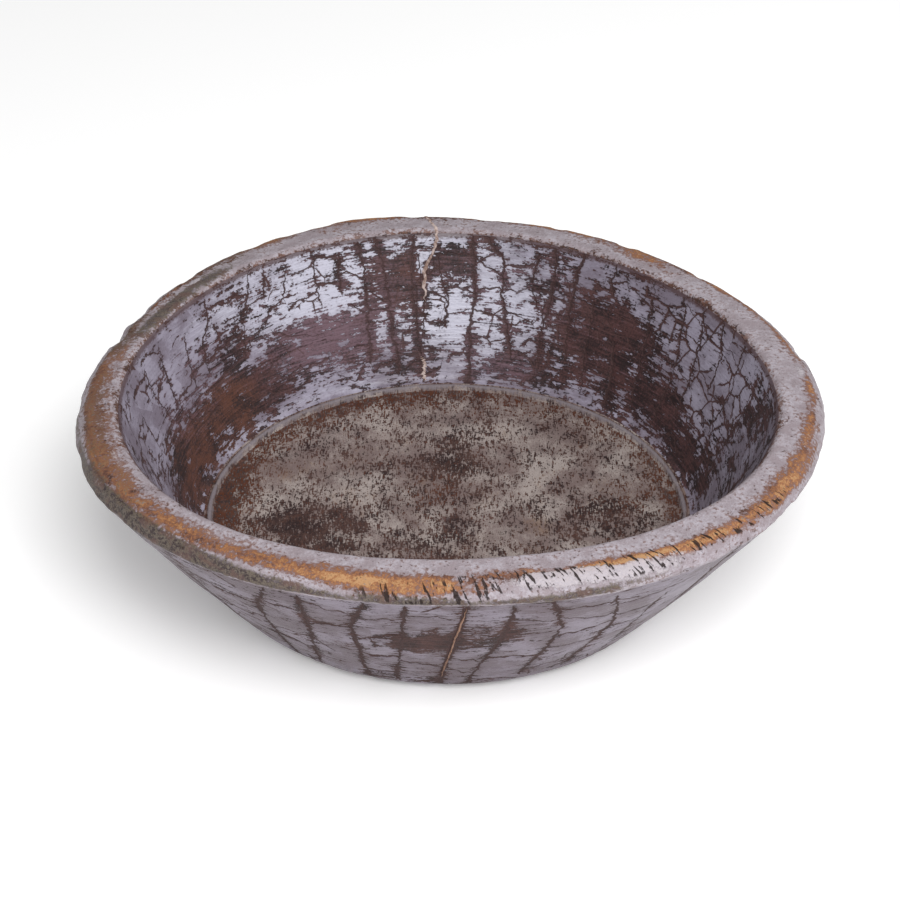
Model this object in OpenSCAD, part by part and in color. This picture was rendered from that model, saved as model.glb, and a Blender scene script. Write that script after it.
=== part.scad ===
// Carved wooden bowl: one hollowed block of wood with a steep inner wall, a flat floor edged by a
// low bead, a bevelled lip band and two old drying cracks, each closed with a hard pale filler.
// Millimetres. The origin is the middle of the resting face, +Z is up and -Y is the front.

/* [Overall] */
// Height from the resting face to the highest point of the rim
bowl_h = 114; // [95:1:150]
// Mean outer radius at the lower edge of the lip band
rim_r = 198; // [165:1:240]
// Radius at which the outer wall would meet the table if its foot were sharp
foot_r = 122; // [100:1:135]
// Depth of the inside, from the rim to the top of the floor bead
inside_depth = 82; // [64:1:94]

/* [Rim] */
// Width of the whole rim, from the mouth to the lower edge of the lip band
rim_w = 24.5; // [18:0.5:32]
// How far the worn ridge of the rim lies inside the lower edge of the lip band
ridge_inset = 7.5; // [3:0.5:10]
// Fall of the rim top from the mouth to its worn ridge
rim_fall = 2; // [0.5:0.5:4]
// Height of the lip band below the ridge
band_h = 10; // [7:0.5:16]
// Ledge under the lip band, where it stands over the wall
band_step = 2; // [0.5:0.5:3]
// Worn rounding at the edge of the mouth
mouth_round = 2.5; // [1:0.5:4]

/* [Outer wall and foot] */
// How far the outer wall swells past a straight line
wall_belly = 2; // [0:0.5:5]
// Radius of the turn from the outer wall to the resting face
foot_round = 20; // [10:1:30]

/* [Inner wall and floor] */
// Wall left at the level of the floor, measured level from the bead to the outside
turn_wall = 16; // [13:0.5:24]
// Radius of the turn from the inner wall to the floor
floor_round = 6; // [3:0.5:9]
// Width of the low bead round the floor
bead_w = 3.5; // [2.5:0.5:5]
// Depth of the fine line cut between the wall and the bead
bead_line = 0.8; // [0.4:0.2:1.6]
// Drop from the top of the bead to the edge of the floor
floor_step = 2.8; // [1:0.2:4]
// How much lower the middle of the floor is than its edge
floor_dish = 2; // [0:0.5:4]

/* [Hand-cut outline] */
// Outward and inward swing of the oval in the outline
oval_by = 3.2; // [0:0.2:6]
// Direction of the long way of the oval, in degrees from +X
oval_dir = -7; // [-90:1:90]
// Swing of the three soft corners in the outer outline
corner_by = 4.6; // [0:0.2:7]
// Swing of the same three corners in the mouth
mouth_corner_by = 3.7; // [0:0.2:7]
// Direction of the first of the three soft corners
corner_dir = -27; // [-60:1:60]
// Swing of the four small flats in the outer outline
flat_by = 2.2; // [0:0.2:4]
// Direction of the first high point between the four flats
flat_dir = 35; // [0:1:90]
// How far the hollow was cut off the centre of the block
off_centre = 1.8; // [0:0.2:3]
// Side on which the rim is widest, in degrees from +X
off_centre_dir = 55; // [-180:5:180]
// Rise and fall of the rim above and below its mean level
rim_wave = 0.9; // [0:0.1:3]
// Direction of the higher pair of places on the rim
rim_wave_dir = -45; // [-90:5:90]

/* [Filled cracks] */
// Width of the filled cracks
crack_w = 2.4; // [1.5:0.1:4]
// Depth of the filled cracks below the surface
crack_deep = 3.5; // [2:0.5:6]

/* [Hidden] */

wood_colour = [0.62, 0.58, 0.64];
rim_filler_colour = [0.80, 0.72, 0.67];
wall_filler_colour = [0.66, 0.50, 0.40];

round_steps = 72;
belly_steps = 7;
turn_steps = 4;
inner_steps = 3;
back = 90;
front = 270;
// How far the crack slabs stand out of the surface before they are cut back to it
proud = 4;
// Brings the highest point of t * (1 - t) to one
swell_peak = 4;
// Bend in the lip band, as shares of the ridge's inset and of the band's height
band_bend_in = 0.35;
band_bend_up = 0.6;
// Worn top of the ridge, as shares of the rim's width and of its fall
ridge_top_in = 0.12;
ridge_top_fall = 0.6;
// Middle of the worn rounding of the mouth
mouth_turn = 0.3;
// Outer and inner edges of the bead's flat top, as shares of its width
bead_top_out = 0.3;
bead_top_in = 0.2;
// Ring on the dished floor, as a share of the way from the middle to the bead
dish_ring = 0.6;
// Share of the dish already reached at that ring
dish_fall = 0.6;

floor_z = bowl_h - inside_depth;
mouth_r = rim_r - rim_w;
band_z = bowl_h - rim_fall - band_h;
wall_top_r = rim_r - band_step;
wall_top_z = band_z - band_step;
wall_lean = atan2(wall_top_r - foot_r, wall_top_z);
foot_turn = foot_round * tan((90 - wall_lean) / 2);
foot_flat_r = foot_r - foot_turn;

// Outer wall at a level, as a straight line with a swell between the lip band and the foot
function wall_t(z) = z / wall_top_z;
function wall_r(z) =
    foot_r + (wall_top_r - foot_r) * wall_t(z) + swell_peak * wall_belly * wall_t(z) * (1 - wall_t(z));

// Inner wall, from the mouth to where it would meet the floor if the turn were sharp
bead_r = wall_r(floor_z) - turn_wall;
turn_r = bead_r + bead_w / 2;
line_z = floor_z - bead_line;
floor_edge_z = floor_z - floor_step;
inner_lean_guess = atan2(mouth_r - turn_r, bowl_h - line_z);
turn_length = floor_round * tan((90 - inner_lean_guess) / 2);
inner_foot_r = turn_r + turn_length;
inner_lean = atan2(mouth_r - inner_foot_r, bowl_h - line_z);
inner_turn_top_z = line_z + turn_length * cos(inner_lean);
inner_top_z = bowl_h - mouth_round;
function inner_r(z) = inner_foot_r + (z - line_z) * tan(inner_lean);

// Swing of the outline at an angle, full at the rim
function outer_swing(a) =
    oval_by * cos(2 * (a - oval_dir))
    + corner_by * cos(3 * (a - corner_dir))
    + flat_by * cos(4 * (a - flat_dir))
    + off_centre * cos(a - off_centre_dir);
function mouth_swing(a) = oval_by * cos(2 * (a - oval_dir)) + mouth_corner_by * cos(3 * (a - corner_dir));
function rim_rise(a) = rim_wave * (cos(2 * (a - rim_wave_dir)) - 1);

// Profile, from the resting face up the outside, over the rim and down to the floor.
// Each entry is [radius, level, share of the outer swing, share of the mouth's swing, share of the rim's rise].
function outside(r, z) = [r, z, z / bowl_h, 0, z / bowl_h];
function inside(r, z) = [r, z, 0, max(0, (z - line_z) / (bowl_h - line_z)), max(0, (z - floor_z) / inside_depth)];

foot_turn_top = foot_turn * cos(wall_lean);
foot_part = [
    for (i = [0:turn_steps])
        let (t = (90 - wall_lean) * i / turn_steps)
        outside(foot_flat_r + foot_round * sin(t), foot_round * (1 - cos(t)))
];
wall_part = [
    for (i = [1:belly_steps])
        let (z = foot_turn_top + (wall_top_z - foot_turn_top) * i / belly_steps)
        outside(wall_r(z), z)
];
band_part = [
    outside(rim_r, band_z),
    outside(rim_r - ridge_inset * band_bend_in, band_z + band_h * band_bend_up),
    outside(rim_r - ridge_inset, bowl_h - rim_fall)
];
rim_part = [
    outside(rim_r - ridge_inset - rim_w * ridge_top_in, bowl_h - rim_fall * ridge_top_fall),
    inside(mouth_r + mouth_round, bowl_h),
    inside(mouth_r + mouth_round * mouth_turn, bowl_h - mouth_round * mouth_turn),
    inside(inner_r(inner_top_z), inner_top_z)
];
inner_part = [
    for (i = [1:inner_steps])
        let (z = inner_top_z + (inner_turn_top_z - inner_top_z) * i / inner_steps)
        inside(inner_r(z), z)
];
floor_turn_part = [
    for (i = [1:turn_steps])
        let (t = (90 - inner_lean) * (1 - i / turn_steps))
        inside(turn_r + floor_round * sin(t), line_z + floor_round * (1 - cos(t)))
];
bead_part = [
    inside(bead_r + bead_w * bead_top_out, floor_z),
    inside(bead_r - bead_w * bead_top_in, floor_z),
    inside(bead_r - bead_w / 2, floor_edge_z),
    inside(bead_r * dish_ring, floor_edge_z - floor_dish * dish_fall)
];
profile = concat(foot_part, wall_part, band_part, rim_part, inner_part, floor_turn_part, bead_part);
ring_count = len(profile);

function ring_point(p, a) =
    let (r = p[0] + p[2] * outer_swing(a) + p[3] * mouth_swing(a))
    [r * cos(a), r * sin(a), p[1] + p[4] * rim_rise(a)];

form_points = concat(
    [for (p = profile, j = [0:round_steps - 1]) ring_point(p, 360 * j / round_steps)],
    [[0, 0, floor_edge_z - floor_dish]]
);
function at(i, j) = i * round_steps + j % round_steps;
form_faces = concat(
    [[for (j = [0:round_steps - 1]) j]],
    [for (i = [0:ring_count - 2], j = [0:round_steps - 1]) [at(i, j), at(i + 1, j), at(i, j + 1)]],
    [for (i = [0:ring_count - 2], j = [0:round_steps - 1]) [at(i + 1, j), at(i + 1, j + 1), at(i, j + 1)]],
    [for (j = [0:round_steps - 1]) [at(ring_count - 1, j), ring_count * round_steps, at(ring_count - 1, j + 1)]]
);

// Crack over the rim: sideways place, and share of the way from the outer edge to the mouth
rim_run = [[-14, -0.4], [-13, 0], [-9, 0.55], [-6, 1], [-6, 1.4]];
// The same crack down the inner wall: sideways place, and share of the way from the mouth to the floor
upper_run = [[-6, -0.06], [-6.5, 0.07], [-11.5, 0.19], [-13, 0.26], [-13.5, 0.35], [-13, 0.44]];
lower_run = [[-15.5, 0.80], [-13.5, 0.85], [-13.5, 0.96]];
// Crack in the outer wall: sideways place, and share of the way from the lip band to the foot
wall_run = [[10, 0.04], [7.5, 0.2], [4, 0.38], [0.5, 0.6], [-3, 0.82]];

// Closed outline of a crack that follows a run of points and comes to a point at both ends
module crack_outline(run) {
    last = len(run) - 1;
    left = [for (i = [1:last - 1]) run[i] - [crack_w / 2, 0]];
    right = [for (i = [last - 1:-1:1]) run[i] + [crack_w / 2, 0]];
    polygon(concat([run[0]], left, [run[last]], right));
}

// Slab over the rim at the back
module rim_slab() {
    y_out = rim_r + outer_swing(back);
    y_in = mouth_r + mouth_swing(back);
    run = [for (p = rim_run) [p[0], y_out + (y_in - y_out) * p[1]]];
    translate([0, 0, bowl_h - crack_deep])
        linear_extrude(height = crack_deep + proud)
            crack_outline(run);
}

// Slab down the inner wall at the back
module inner_slab(part_run) {
    length = (bowl_h - line_z) / cos(inner_lean);
    run = [for (p = part_run) [p[0], -length * p[1]]];
    translate([0, mouth_r + mouth_swing(back), bowl_h])
        rotate([90 - inner_lean, 0, 0])
            translate([0, 0, -crack_deep])
                linear_extrude(height = crack_deep + proud)
                    crack_outline(run);
}

// Slab down the outer wall at the front
module wall_slab() {
    y_top = wall_top_r + outer_swing(front) * wall_top_z / bowl_h;
    lean = atan2(y_top - foot_r, wall_top_z);
    length = wall_top_z / cos(lean);
    run = [for (p = wall_run) [p[0], -length * p[1]]];
    translate([0, -y_top, wall_top_z])
        rotate([90 + lean, 0, 0])
            translate([0, 0, -crack_deep])
                linear_extrude(height = crack_deep + wall_belly + proud)
                    crack_outline(run);
}

module rim_crack() {
    rim_slab();
    inner_slab(upper_run);
    inner_slab(lower_run);
}

module carved_form() {
    polyhedron(points = form_points, faces = form_faces, convexity = 4);
}

module bowl_body() {
    color(wood_colour)
        difference() {
            carved_form();
            rim_crack();
            wall_slab();
        }
}

module rim_crack_filler() {
    color(rim_filler_colour)
        intersection() {
            carved_form();
            rim_crack();
        }
}

module wall_crack_filler() {
    color(wall_filler_colour)
        intersection() {
            carved_form();
            wall_slab();
        }
}

bowl_body();
rim_crack_filler();
wall_crack_filler();
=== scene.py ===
"""Carved wooden bowl: its worn, crackled body and the filler in its two drying cracks."""

import bisect
import logging
import math
import random
from dataclasses import dataclass, field
from enum import Enum

import bmesh
import bpy
from mathutils import Matrix, Vector, noise


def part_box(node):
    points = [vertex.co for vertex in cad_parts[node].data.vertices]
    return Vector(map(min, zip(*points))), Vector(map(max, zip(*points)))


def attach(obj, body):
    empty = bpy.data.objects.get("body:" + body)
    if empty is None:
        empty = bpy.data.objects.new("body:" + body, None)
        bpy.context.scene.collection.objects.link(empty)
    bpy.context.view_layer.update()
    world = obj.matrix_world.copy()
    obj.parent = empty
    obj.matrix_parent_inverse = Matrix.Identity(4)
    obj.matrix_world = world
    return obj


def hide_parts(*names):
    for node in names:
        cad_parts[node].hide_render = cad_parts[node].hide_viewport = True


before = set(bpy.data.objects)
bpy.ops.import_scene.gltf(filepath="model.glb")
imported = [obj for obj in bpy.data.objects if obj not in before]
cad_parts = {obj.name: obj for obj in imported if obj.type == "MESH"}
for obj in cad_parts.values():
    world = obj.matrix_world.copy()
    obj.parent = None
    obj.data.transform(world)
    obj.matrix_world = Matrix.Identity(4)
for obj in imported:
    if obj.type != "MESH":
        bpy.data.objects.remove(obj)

LOG = logging.getLogger("carved_bowl")
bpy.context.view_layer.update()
MM = 0.001
TURN = 2 * math.pi


class Zone(Enum):
    """The four worked surfaces of the bowl, in the order that its outline meets them."""

    OUTER = 0
    RIM = 1
    INNER = 2
    FLOOR = 3


class Tone(Enum):
    """What a named patch changes on the surface. The value is the mesh attribute that holds it."""

    WEAR = "wear"
    OCHRE = "ochre"
    PALE = "pale"
    GRIME = "grime"
    CHECKS = "checks"
    # Paint made lighter: painted light and sheen on the back wall, which faces the light, and real white
    # paint near the floor
    BRIGHT = "bright"


def smooth_step(low: float, high: float, value: float) -> float:
    """Share from 0 at low to 1 at high, with soft ends.

    Args:
        low: Value at which the share is 0.
        high: Value at which the share is 1.
        value: The value to place between them.

    Returns:
        The share, from 0 to 1.
    """
    t = min(1.0, max(0.0, (value - low) / (high - low)))
    return t * t * (3 - 2 * t)


def bell(distance: float, half: float) -> float:
    """Height of a bell curve: 1 at no distance, 0.37 at half."""
    return math.exp(-((distance / half) ** 2))


def turn_between(a: float, b: float) -> float:
    """Signed shortest turn from angle b to angle a, in radians."""
    return (a - b + math.pi) % TURN - math.pi


def along_points(points: list[tuple[float, float]], x: float) -> float:
    """Height of a polyline at x, held level past its ends.

    Args:
        points: (x, height) pairs with x rising.
        x: Where to read the polyline.

    Returns:
        The height there.
    """
    if x <= points[0][0]:
        return points[0][1]
    for (x0, y0), (x1, y1) in zip(points, points[1:]):
        if x <= x1:
            return y0 + (y1 - y0) * (x - x0) / (x1 - x0)
    return points[-1][1]


# ---------------------------------------------------------------------------
# Shape of the bowl
# ---------------------------------------------------------------------------


@dataclass
class Station:
    """One level of the outline: its place, and how far it follows each swing of the hand-cut shape."""

    r: float
    z: float
    zone: Zone
    outer_share: float = 0.0
    mouth_share: float = 0.0
    rise_share: float = 0.0
    run: float = 0.0
    normal_r: float = 0.0
    normal_z: float = 0.0


# A soft swell of an outline: (angle of its middle, half width in radians, height)
Swell = tuple[float, float, float]


@dataclass
class BowlShape:
    """Sizes of the bowl, in metres, and the outline that follows from them."""

    height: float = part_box("bowl_body")[1].z
    rim_r: float = 198 * MM
    foot_r: float = 122 * MM
    inside_depth: float = 82 * MM
    rim_w: float = 24.5 * MM
    ridge_inset: float = 7.5 * MM
    rim_fall: float = 2 * MM
    band_h: float = 10 * MM
    band_step: float = 2 * MM
    mouth_round: float = 2.5 * MM
    ridge_round: float = 1.6 * MM
    wall_belly: float = 2 * MM
    foot_round: float = 20 * MM
    turn_wall: float = 16 * MM
    floor_round: float = 6 * MM
    bead_w: float = 3.5 * MM
    bead_line: float = 0.8 * MM
    floor_step: float = 2.8 * MM
    floor_dish: float = 2 * MM
    step_cut: float = 0.7 * MM
    band_cut: float = 1.4 * MM
    mouth_cut: float = 1.5 * MM
    lip_cut: float = 1.2 * MM
    groove_cut: float = 0.3 * MM
    bead_cut: float = 0.6 * MM
    bead_top_cut: float = 0.5 * MM
    oval_by: float = 3.2 * MM
    oval_dir: float = math.radians(-7)
    corner_by: float = 4.6 * MM
    mouth_corner_by: float = 3.7 * MM
    corner_dir: float = math.radians(-27)
    flat_by: float = 2.2 * MM
    flat_dir: float = math.radians(35)
    off_centre: float = 1.8 * MM
    off_centre_dir: float = math.radians(55)
    rim_wave: float = 0.9 * MM
    rim_wave_dir: float = math.radians(-45)
    lip_swells: tuple[Swell, ...] = ((math.radians(272), math.radians(36), -3.2 * MM),)
    swells: tuple[Swell, ...] = (
        (math.radians(106), math.radians(15), 4.2 * MM), (math.radians(66), math.radians(18), 3.0 * MM),
        (math.radians(2), math.radians(18), 3.4 * MM), (math.radians(178), math.radians(14), 1.6 * MM),
        (math.radians(222), math.radians(14), -2.2 * MM),
    )
    stations: list[Station] = field(default_factory=list)

    def __post_init__(self) -> None:
        """Works out the levels and radii that the sizes give."""
        self.floor_z = self.height - self.inside_depth
        self.mouth_r = self.rim_r - self.rim_w
        self.ridge_r = self.rim_r - self.ridge_inset
        self.ridge_z = self.height - self.rim_fall
        self.band_z = self.ridge_z - self.band_h
        self.wall_top_r = self.rim_r - self.band_step
        self.wall_top_z = self.band_z - self.band_step
        self.wall_lean = math.atan2(self.wall_top_r - self.foot_r, self.wall_top_z)
        self.foot_turn = self.foot_round * math.tan((math.pi / 2 - self.wall_lean) / 2)
        t = self.floor_z / self.wall_top_z
        wall_here = self.foot_r + (self.wall_top_r - self.foot_r) * t + self.belly(t)
        self.bead_r = wall_here - self.turn_wall
        self.turn_r = self.bead_r + self.bead_w / 2
        self.line_z = self.floor_z - self.bead_line
        self.edge_z = self.floor_z - self.floor_step
        guess = math.atan2(self.mouth_r - self.turn_r, self.height - self.line_z)
        self.turn_length = self.floor_round * math.tan((math.pi / 2 - guess) / 2)
        self.inner_foot_r = self.turn_r + self.turn_length

    def belly(self, share: float) -> float:
        """Swell of the outer wall at a share of its height."""
        share = min(1.0, max(0.0, share))
        return 4 * self.wall_belly * share * (1 - share)

    def swelling(self, rows: tuple[Swell, ...], a: float) -> float:
        """Sum of the soft swells at an angle."""
        return sum(by * bell(turn_between(a, at), half) for at, half, by in rows)

    def outer_swing(self, a: float) -> float:
        """Swing of the outer outline at an angle, full at the rim."""
        return (
            self.oval_by * math.cos(2 * (a - self.oval_dir))
            + self.corner_by * math.cos(3 * (a - self.corner_dir))
            + self.flat_by * math.cos(4 * (a - self.flat_dir))
            + self.off_centre * math.cos(a - self.off_centre_dir)
            + self.swelling(self.swells, a)
        )

    def mouth_swing(self, a: float) -> float:
        """Swing of the mouth's outline at an angle."""
        oval = self.oval_by * math.cos(2 * (a - self.oval_dir))
        corners = self.mouth_corner_by * math.cos(3 * (a - self.corner_dir))
        return self.swelling(self.lip_swells, a) + oval + corners

    def rim_rise(self, a: float) -> float:
        """Fall of the rim below its highest places at an angle."""
        return self.rim_wave * (math.cos(2 * (a - self.rim_wave_dir)) - 1)

    def corners(self) -> list[tuple[float, float, float, int]]:
        """Corners of the outline from the underside's centre to the floor's centre.

        Returns:
            (radius, level, length cut back at the corner, steps in its rounding), with 0 for a sharp corner.
        """
        return [
            (0.0, 0.0, 0.0, 0),
            (self.foot_r, 0.0, self.foot_turn, 7),
            (self.wall_top_r, self.wall_top_z, self.step_cut, 2),
            (self.rim_r, self.band_z, self.band_cut, 3),
            (self.rim_r - 0.35 * self.ridge_inset, self.band_z + 0.6 * self.band_h, 0.0, 0),
            (self.ridge_r, self.ridge_z, self.ridge_round, 5),
            (self.mouth_r + self.mouth_round, self.height, self.mouth_cut, 3),
            (self.mouth_r - 0.3 * MM, self.height - self.mouth_round, self.lip_cut, 3),
            (self.inner_foot_r, self.line_z, self.turn_length, 5),
            (self.turn_r, self.line_z, self.groove_cut, 2),
            (self.turn_r - 0.9 * MM, self.floor_z, self.bead_top_cut, 3),
            (self.bead_r - self.bead_w * 0.2, self.floor_z - 0.2 * MM, self.bead_cut, 3),
            (self.bead_r - self.bead_w / 2, self.edge_z, self.bead_cut, 3),
            (self.bead_r * 0.6, self.edge_z - self.floor_dish * 0.6, 0.0, 0),
            (0.0, self.edge_z - self.floor_dish, 0.0, 0),
        ]

    def zone_of(self, r: float, z: float, before: Zone) -> Zone:
        """Zone of a point of the outline, from its place and the zone of the point before it."""
        if before is Zone.OUTER and r > self.wall_top_r + 0.2 * MM:
            return Zone.RIM
        if before is Zone.RIM and r < self.mouth_r and z < self.height - self.mouth_round * 0.8:
            return Zone.INNER
        if before is Zone.INNER and r < self.turn_r + 0.4 * MM:
            return Zone.FLOOR
        return before

    def finish_stations(self, points: list[tuple[float, float]]) -> None:
        """Gives each point of the outline its zone, run, normal and shares of the swings.

        Args:
            points: (radius, level) of each point, from the underside's centre to the floor's centre.
        """
        zone, run = Zone.OUTER, 0.0
        rim_blend_from = self.ridge_r - self.rim_w * 0.12
        rim_blend_to = self.mouth_r + self.mouth_round
        for i, (r, z) in enumerate(points):
            zone = self.zone_of(r, z, zone)
            if i:
                run += math.dist(points[i - 1], (r, z))
            r0, z0 = points[max(0, i - 1)]
            r1, z1 = points[min(len(points) - 1, i + 1)]
            length = math.dist((r0, z0), (r1, z1))
            place = Station(r, z, zone, run=run, normal_r=(z1 - z0) / length, normal_z=(r0 - r1) / length)
            if zone in (Zone.OUTER, Zone.RIM):
                blend = smooth_step(rim_blend_from, rim_blend_to, r) if z > self.ridge_z - 1 * MM else 0.0
                place.outer_share = (1 - blend) * z / self.height
                place.mouth_share = blend
                place.rise_share = z / self.height
                if zone is Zone.OUTER and z > 0:
                    place.r += self.belly(z / self.wall_top_z)
            else:
                place.mouth_share = max(0.0, (z - self.line_z) / (self.height - self.line_z))
                place.rise_share = max(0.0, (z - self.floor_z) / self.inside_depth)
            self.stations.append(place)
        self.runs = [s.run for s in self.stations]
        self.run_band = next(s.run for s in self.stations if s.zone is Zone.RIM)
        ridge, foot = (self.ridge_r, self.ridge_z), (self.foot_r, 0.0)
        self.run_ridge = min(self.stations, key=lambda s: math.dist((s.r, s.z), ridge)).run
        self.run_mouth = next(s.run for s in self.stations if s.zone is Zone.INNER)
        self.run_floor = next(s.run for s in self.stations if s.zone is Zone.FLOOR)
        self.run_foot = min(self.stations, key=lambda s: math.dist((s.r, s.z), foot)).run

    def station_at(self, run: float) -> Station:
        """The outline at a run, between its nearest two stations."""
        i = min(max(1, bisect.bisect_left(self.runs, run)), len(self.runs) - 1)
        a, b = self.stations[i - 1], self.stations[i]
        t = (run - a.run) / max(1e-9, b.run - a.run)
        names = ("r", "z", "outer_share", "mouth_share", "rise_share", "normal_r", "normal_z")
        mixed = {n: getattr(a, n) * (1 - t) + getattr(b, n) * t for n in names}
        return Station(zone=b.zone, run=run, **mixed)

    def place(self, s: Station, a: float, out: float = 0.0) -> Vector:
        """Point of the surface at a station and an angle.

        Args:
            s: The station.
            a: The angle, in radians from +X.
            out: How far the point stands off the surface, along its normal.

        Returns:
            The point, in the bowl's frame.
        """
        swing = s.outer_share * self.outer_swing(a) + s.mouth_share * self.mouth_swing(a)
        r = s.r + swing + out * s.normal_r
        z = s.z + s.rise_share * self.rim_rise(a) + out * s.normal_z
        return Vector((r * math.cos(a), r * math.sin(a), z))


# ---------------------------------------------------------------------------
# Cracks, chips and patches
# ---------------------------------------------------------------------------


# The distance that stands for no crack near, and the angle that stands for none, at the centres
FAR = 8 * MM
NO_ANGLE = -100.0


@dataclass(frozen=True)
class FilledCrack:
    """A filled crack on one wall, as its sideways place along the wall.

    way holds (share of the wall from its upper edge, place along X) pairs, and facing is the wall's angle.
    """

    way: tuple[tuple[float, float], ...]
    facing: float

    def angle(self, share: float, r: float) -> float:
        """Angle of the crack at a share of the wall, where the wall has radius r."""
        across = along_points(list(self.way), share)
        return self.facing - math.asin(across / r) * math.copysign(1.0, math.sin(self.facing))


BACK_CRACK = FilledCrack(
    way=(
        (-0.28, -14 * MM), (-0.16, -11 * MM), (-0.04, -6.5 * MM), (0.07, -6.5 * MM), (0.19, -11.5 * MM),
        (0.26, -13 * MM), (0.35, -13.5 * MM), (0.44, -13 * MM), (0.62, -14 * MM), (0.8, -15 * MM),
        (0.85, -13.5 * MM), (0.98, -13.5 * MM),
    ),
    facing=math.pi / 2,
)
FRONT_CRACK = FilledCrack(
    way=(
        (0.0, 10.5 * MM), (0.04, 10 * MM), (0.2, 7.5 * MM), (0.38, 4 * MM), (0.6, 0.5 * MM),
        (0.82, -3 * MM), (1.0, -5 * MM),
    ),
    facing=-math.pi / 2,
)


@dataclass(frozen=True)
class Crack:
    """A long crack down a wall: (share from the upper edge, degrees) pairs, and its half width."""

    way: tuple[tuple[float, float], ...]
    half: float = 0.9 * MM
    filled: FilledCrack | None = None

    def angle_at(self, share: float, r: float) -> float:
        """Angle of the crack at a share of the wall, where the wall has radius r."""
        if self.filled is not None:
            return self.filled.angle(share, r) % TURN
        seed = self.way[0][1]
        broad = noise.noise(Vector((share * 5.0, seed, 4.4)))
        fine = noise.noise(Vector((share * 14, seed, 8.8)))
        wander = 0.9 * broad + 0.4 * fine
        return math.radians(along_points(list(self.way), share)) % TURN + wander * MM / r

    def half_at(self, share: float) -> float:
        """Half width of the crack at a share of the wall, 0 past its ends."""
        first, last = self.way[0][0], self.way[-1][0]
        ended = smooth_step(last - 0.05, last + 0.05, share)
        fade = smooth_step(first - 0.04, first + 0.03, share) * (1 - ended)
        swell = 0.8 + 0.7 * noise.noise(Vector((share * 7.0, self.way[0][1], 1.1)))
        return self.half * fade * max(0.25, swell)


INNER_CRACKS = (
    Crack(((-0.1, 92.5), (0.98, 95.5)), 0.8 * MM, BACK_CRACK),
    Crack(((0.0, 61.9), (0.14, 62.8), (0.48, 62.6), (0.72, 61.6)), 1.1 * MM),
    Crack(((0.02, 68.3), (0.13, 67.4), (0.39, 67.7), (0.64, 68.5), (0.82, 68.0)), 1.3 * MM),
    Crack(((0.06, 71.6), (0.3, 72.2), (0.45, 69.6)), 0.8 * MM),
    Crack(((0.0, 82.6), (0.16, 78.0), (0.36, 78.1), (0.56, 76.8), (0.78, 75.0)), 1.1 * MM),
    Crack(((0.02, 85.2), (0.2, 84.3), (0.4, 84.0), (0.58, 85.0), (0.78, 84.7), (0.98, 85.0)), 1.5 * MM),
    Crack(((0.06, 91.3), (0.17, 92.0), (0.31, 91.1), (0.42, 89.8), (0.62, 90.8)), 0.8 * MM),
    Crack(((0.0, 96.5), (0.13, 96.9), (0.38, 97.5), (0.58, 96.7), (0.8, 96.3), (0.96, 96.0)), 1.3 * MM),
    Crack(((0.0, 104.2), (0.19, 103.0), (0.36, 102.6), (0.56, 102.2), (0.9, 101.6)), 1.3 * MM),
    Crack(((0.03, 107.5), (0.21, 107.1), (0.38, 107.3), (0.56, 107.8), (0.8, 108.2)), 1.2 * MM),
    Crack(((0.08, 111.5), (0.21, 112.6), (0.34, 112.2)), 0.8 * MM),
    Crack(((0.04, 117.1), (0.17, 117.6), (0.38, 117.5)), 0.8 * MM),
    Crack(((0.06, 123.4), (0.24, 125.4)), 0.7 * MM),
    Crack(((0.04, 128.3), (0.2, 130.2)), 0.7 * MM),
    Crack(((0.0, 131.8), (0.12, 133.4), (0.24, 136.0), (0.5, 139)), 0.7 * MM),
    Crack(((0.04, 144.4), (0.16, 144.9), (0.26, 148.7), (0.45, 150.6)), 0.7 * MM),
    Crack(((0.16, 153.0), (0.33, 155.0), (0.5, 156)), 0.6 * MM),
    Crack(((0.1, 161.4), (0.24, 163.0), (0.42, 164.0), (0.66, 162.1)), 0.6 * MM),
    Crack(((0.1, 169.2), (0.28, 170.6), (0.5, 168.0)), 0.6 * MM),
    Crack(((0.14, 178.2), (0.3, 179.6), (0.5, 180.0)), 0.5 * MM),
    Crack(((0.1, 186.9), (0.25, 190.5), (0.45, 192.3)), 0.5 * MM),
    Crack(((0.0, 54.8), (0.13, 54.8), (0.24, 52.8)), 0.8 * MM),
    Crack(((0.3, 57.6), (0.6, 57.0), (0.9, 56.0)), 0.9 * MM),
    Crack(((0.5, 50.6), (0.7, 49.0), (0.95, 48.4)), 1.0 * MM),
    Crack(((0.0, 44.9), (0.13, 44.3), (0.3, 43.1), (0.9, 41.0)), 0.6 * MM),
    Crack(((0.02, 36.9), (0.12, 35.3), (0.25, 34.9), (0.38, 33.1), (0.56, 32.4), (0.9, 33.4)), 0.8 * MM),
    Crack(((0.02, 31.0), (0.12, 29.6), (0.29, 28.4), (0.5, 27.1), (0.8, 27.4)), 0.7 * MM),
    Crack(((0.0, 24.9), (0.1, 23.5), (0.2, 21.2), (0.44, 20.3)), 0.7 * MM),
    Crack(((0.02, 16.3), (0.17, 15.0), (0.32, 12.9), (0.42, 13.1), (0.58, 14.2), (0.72, 11.5)), 0.7 * MM),
    Crack(((0.12, 6.8), (0.3, 5.4), (0.53, 5.0), (0.72, 5.4)), 0.8 * MM),
    Crack(((0.1, 358.4), (0.32, 359.2), (0.53, 0.6), (0.72, 357.9)), 0.8 * MM),
)
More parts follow.
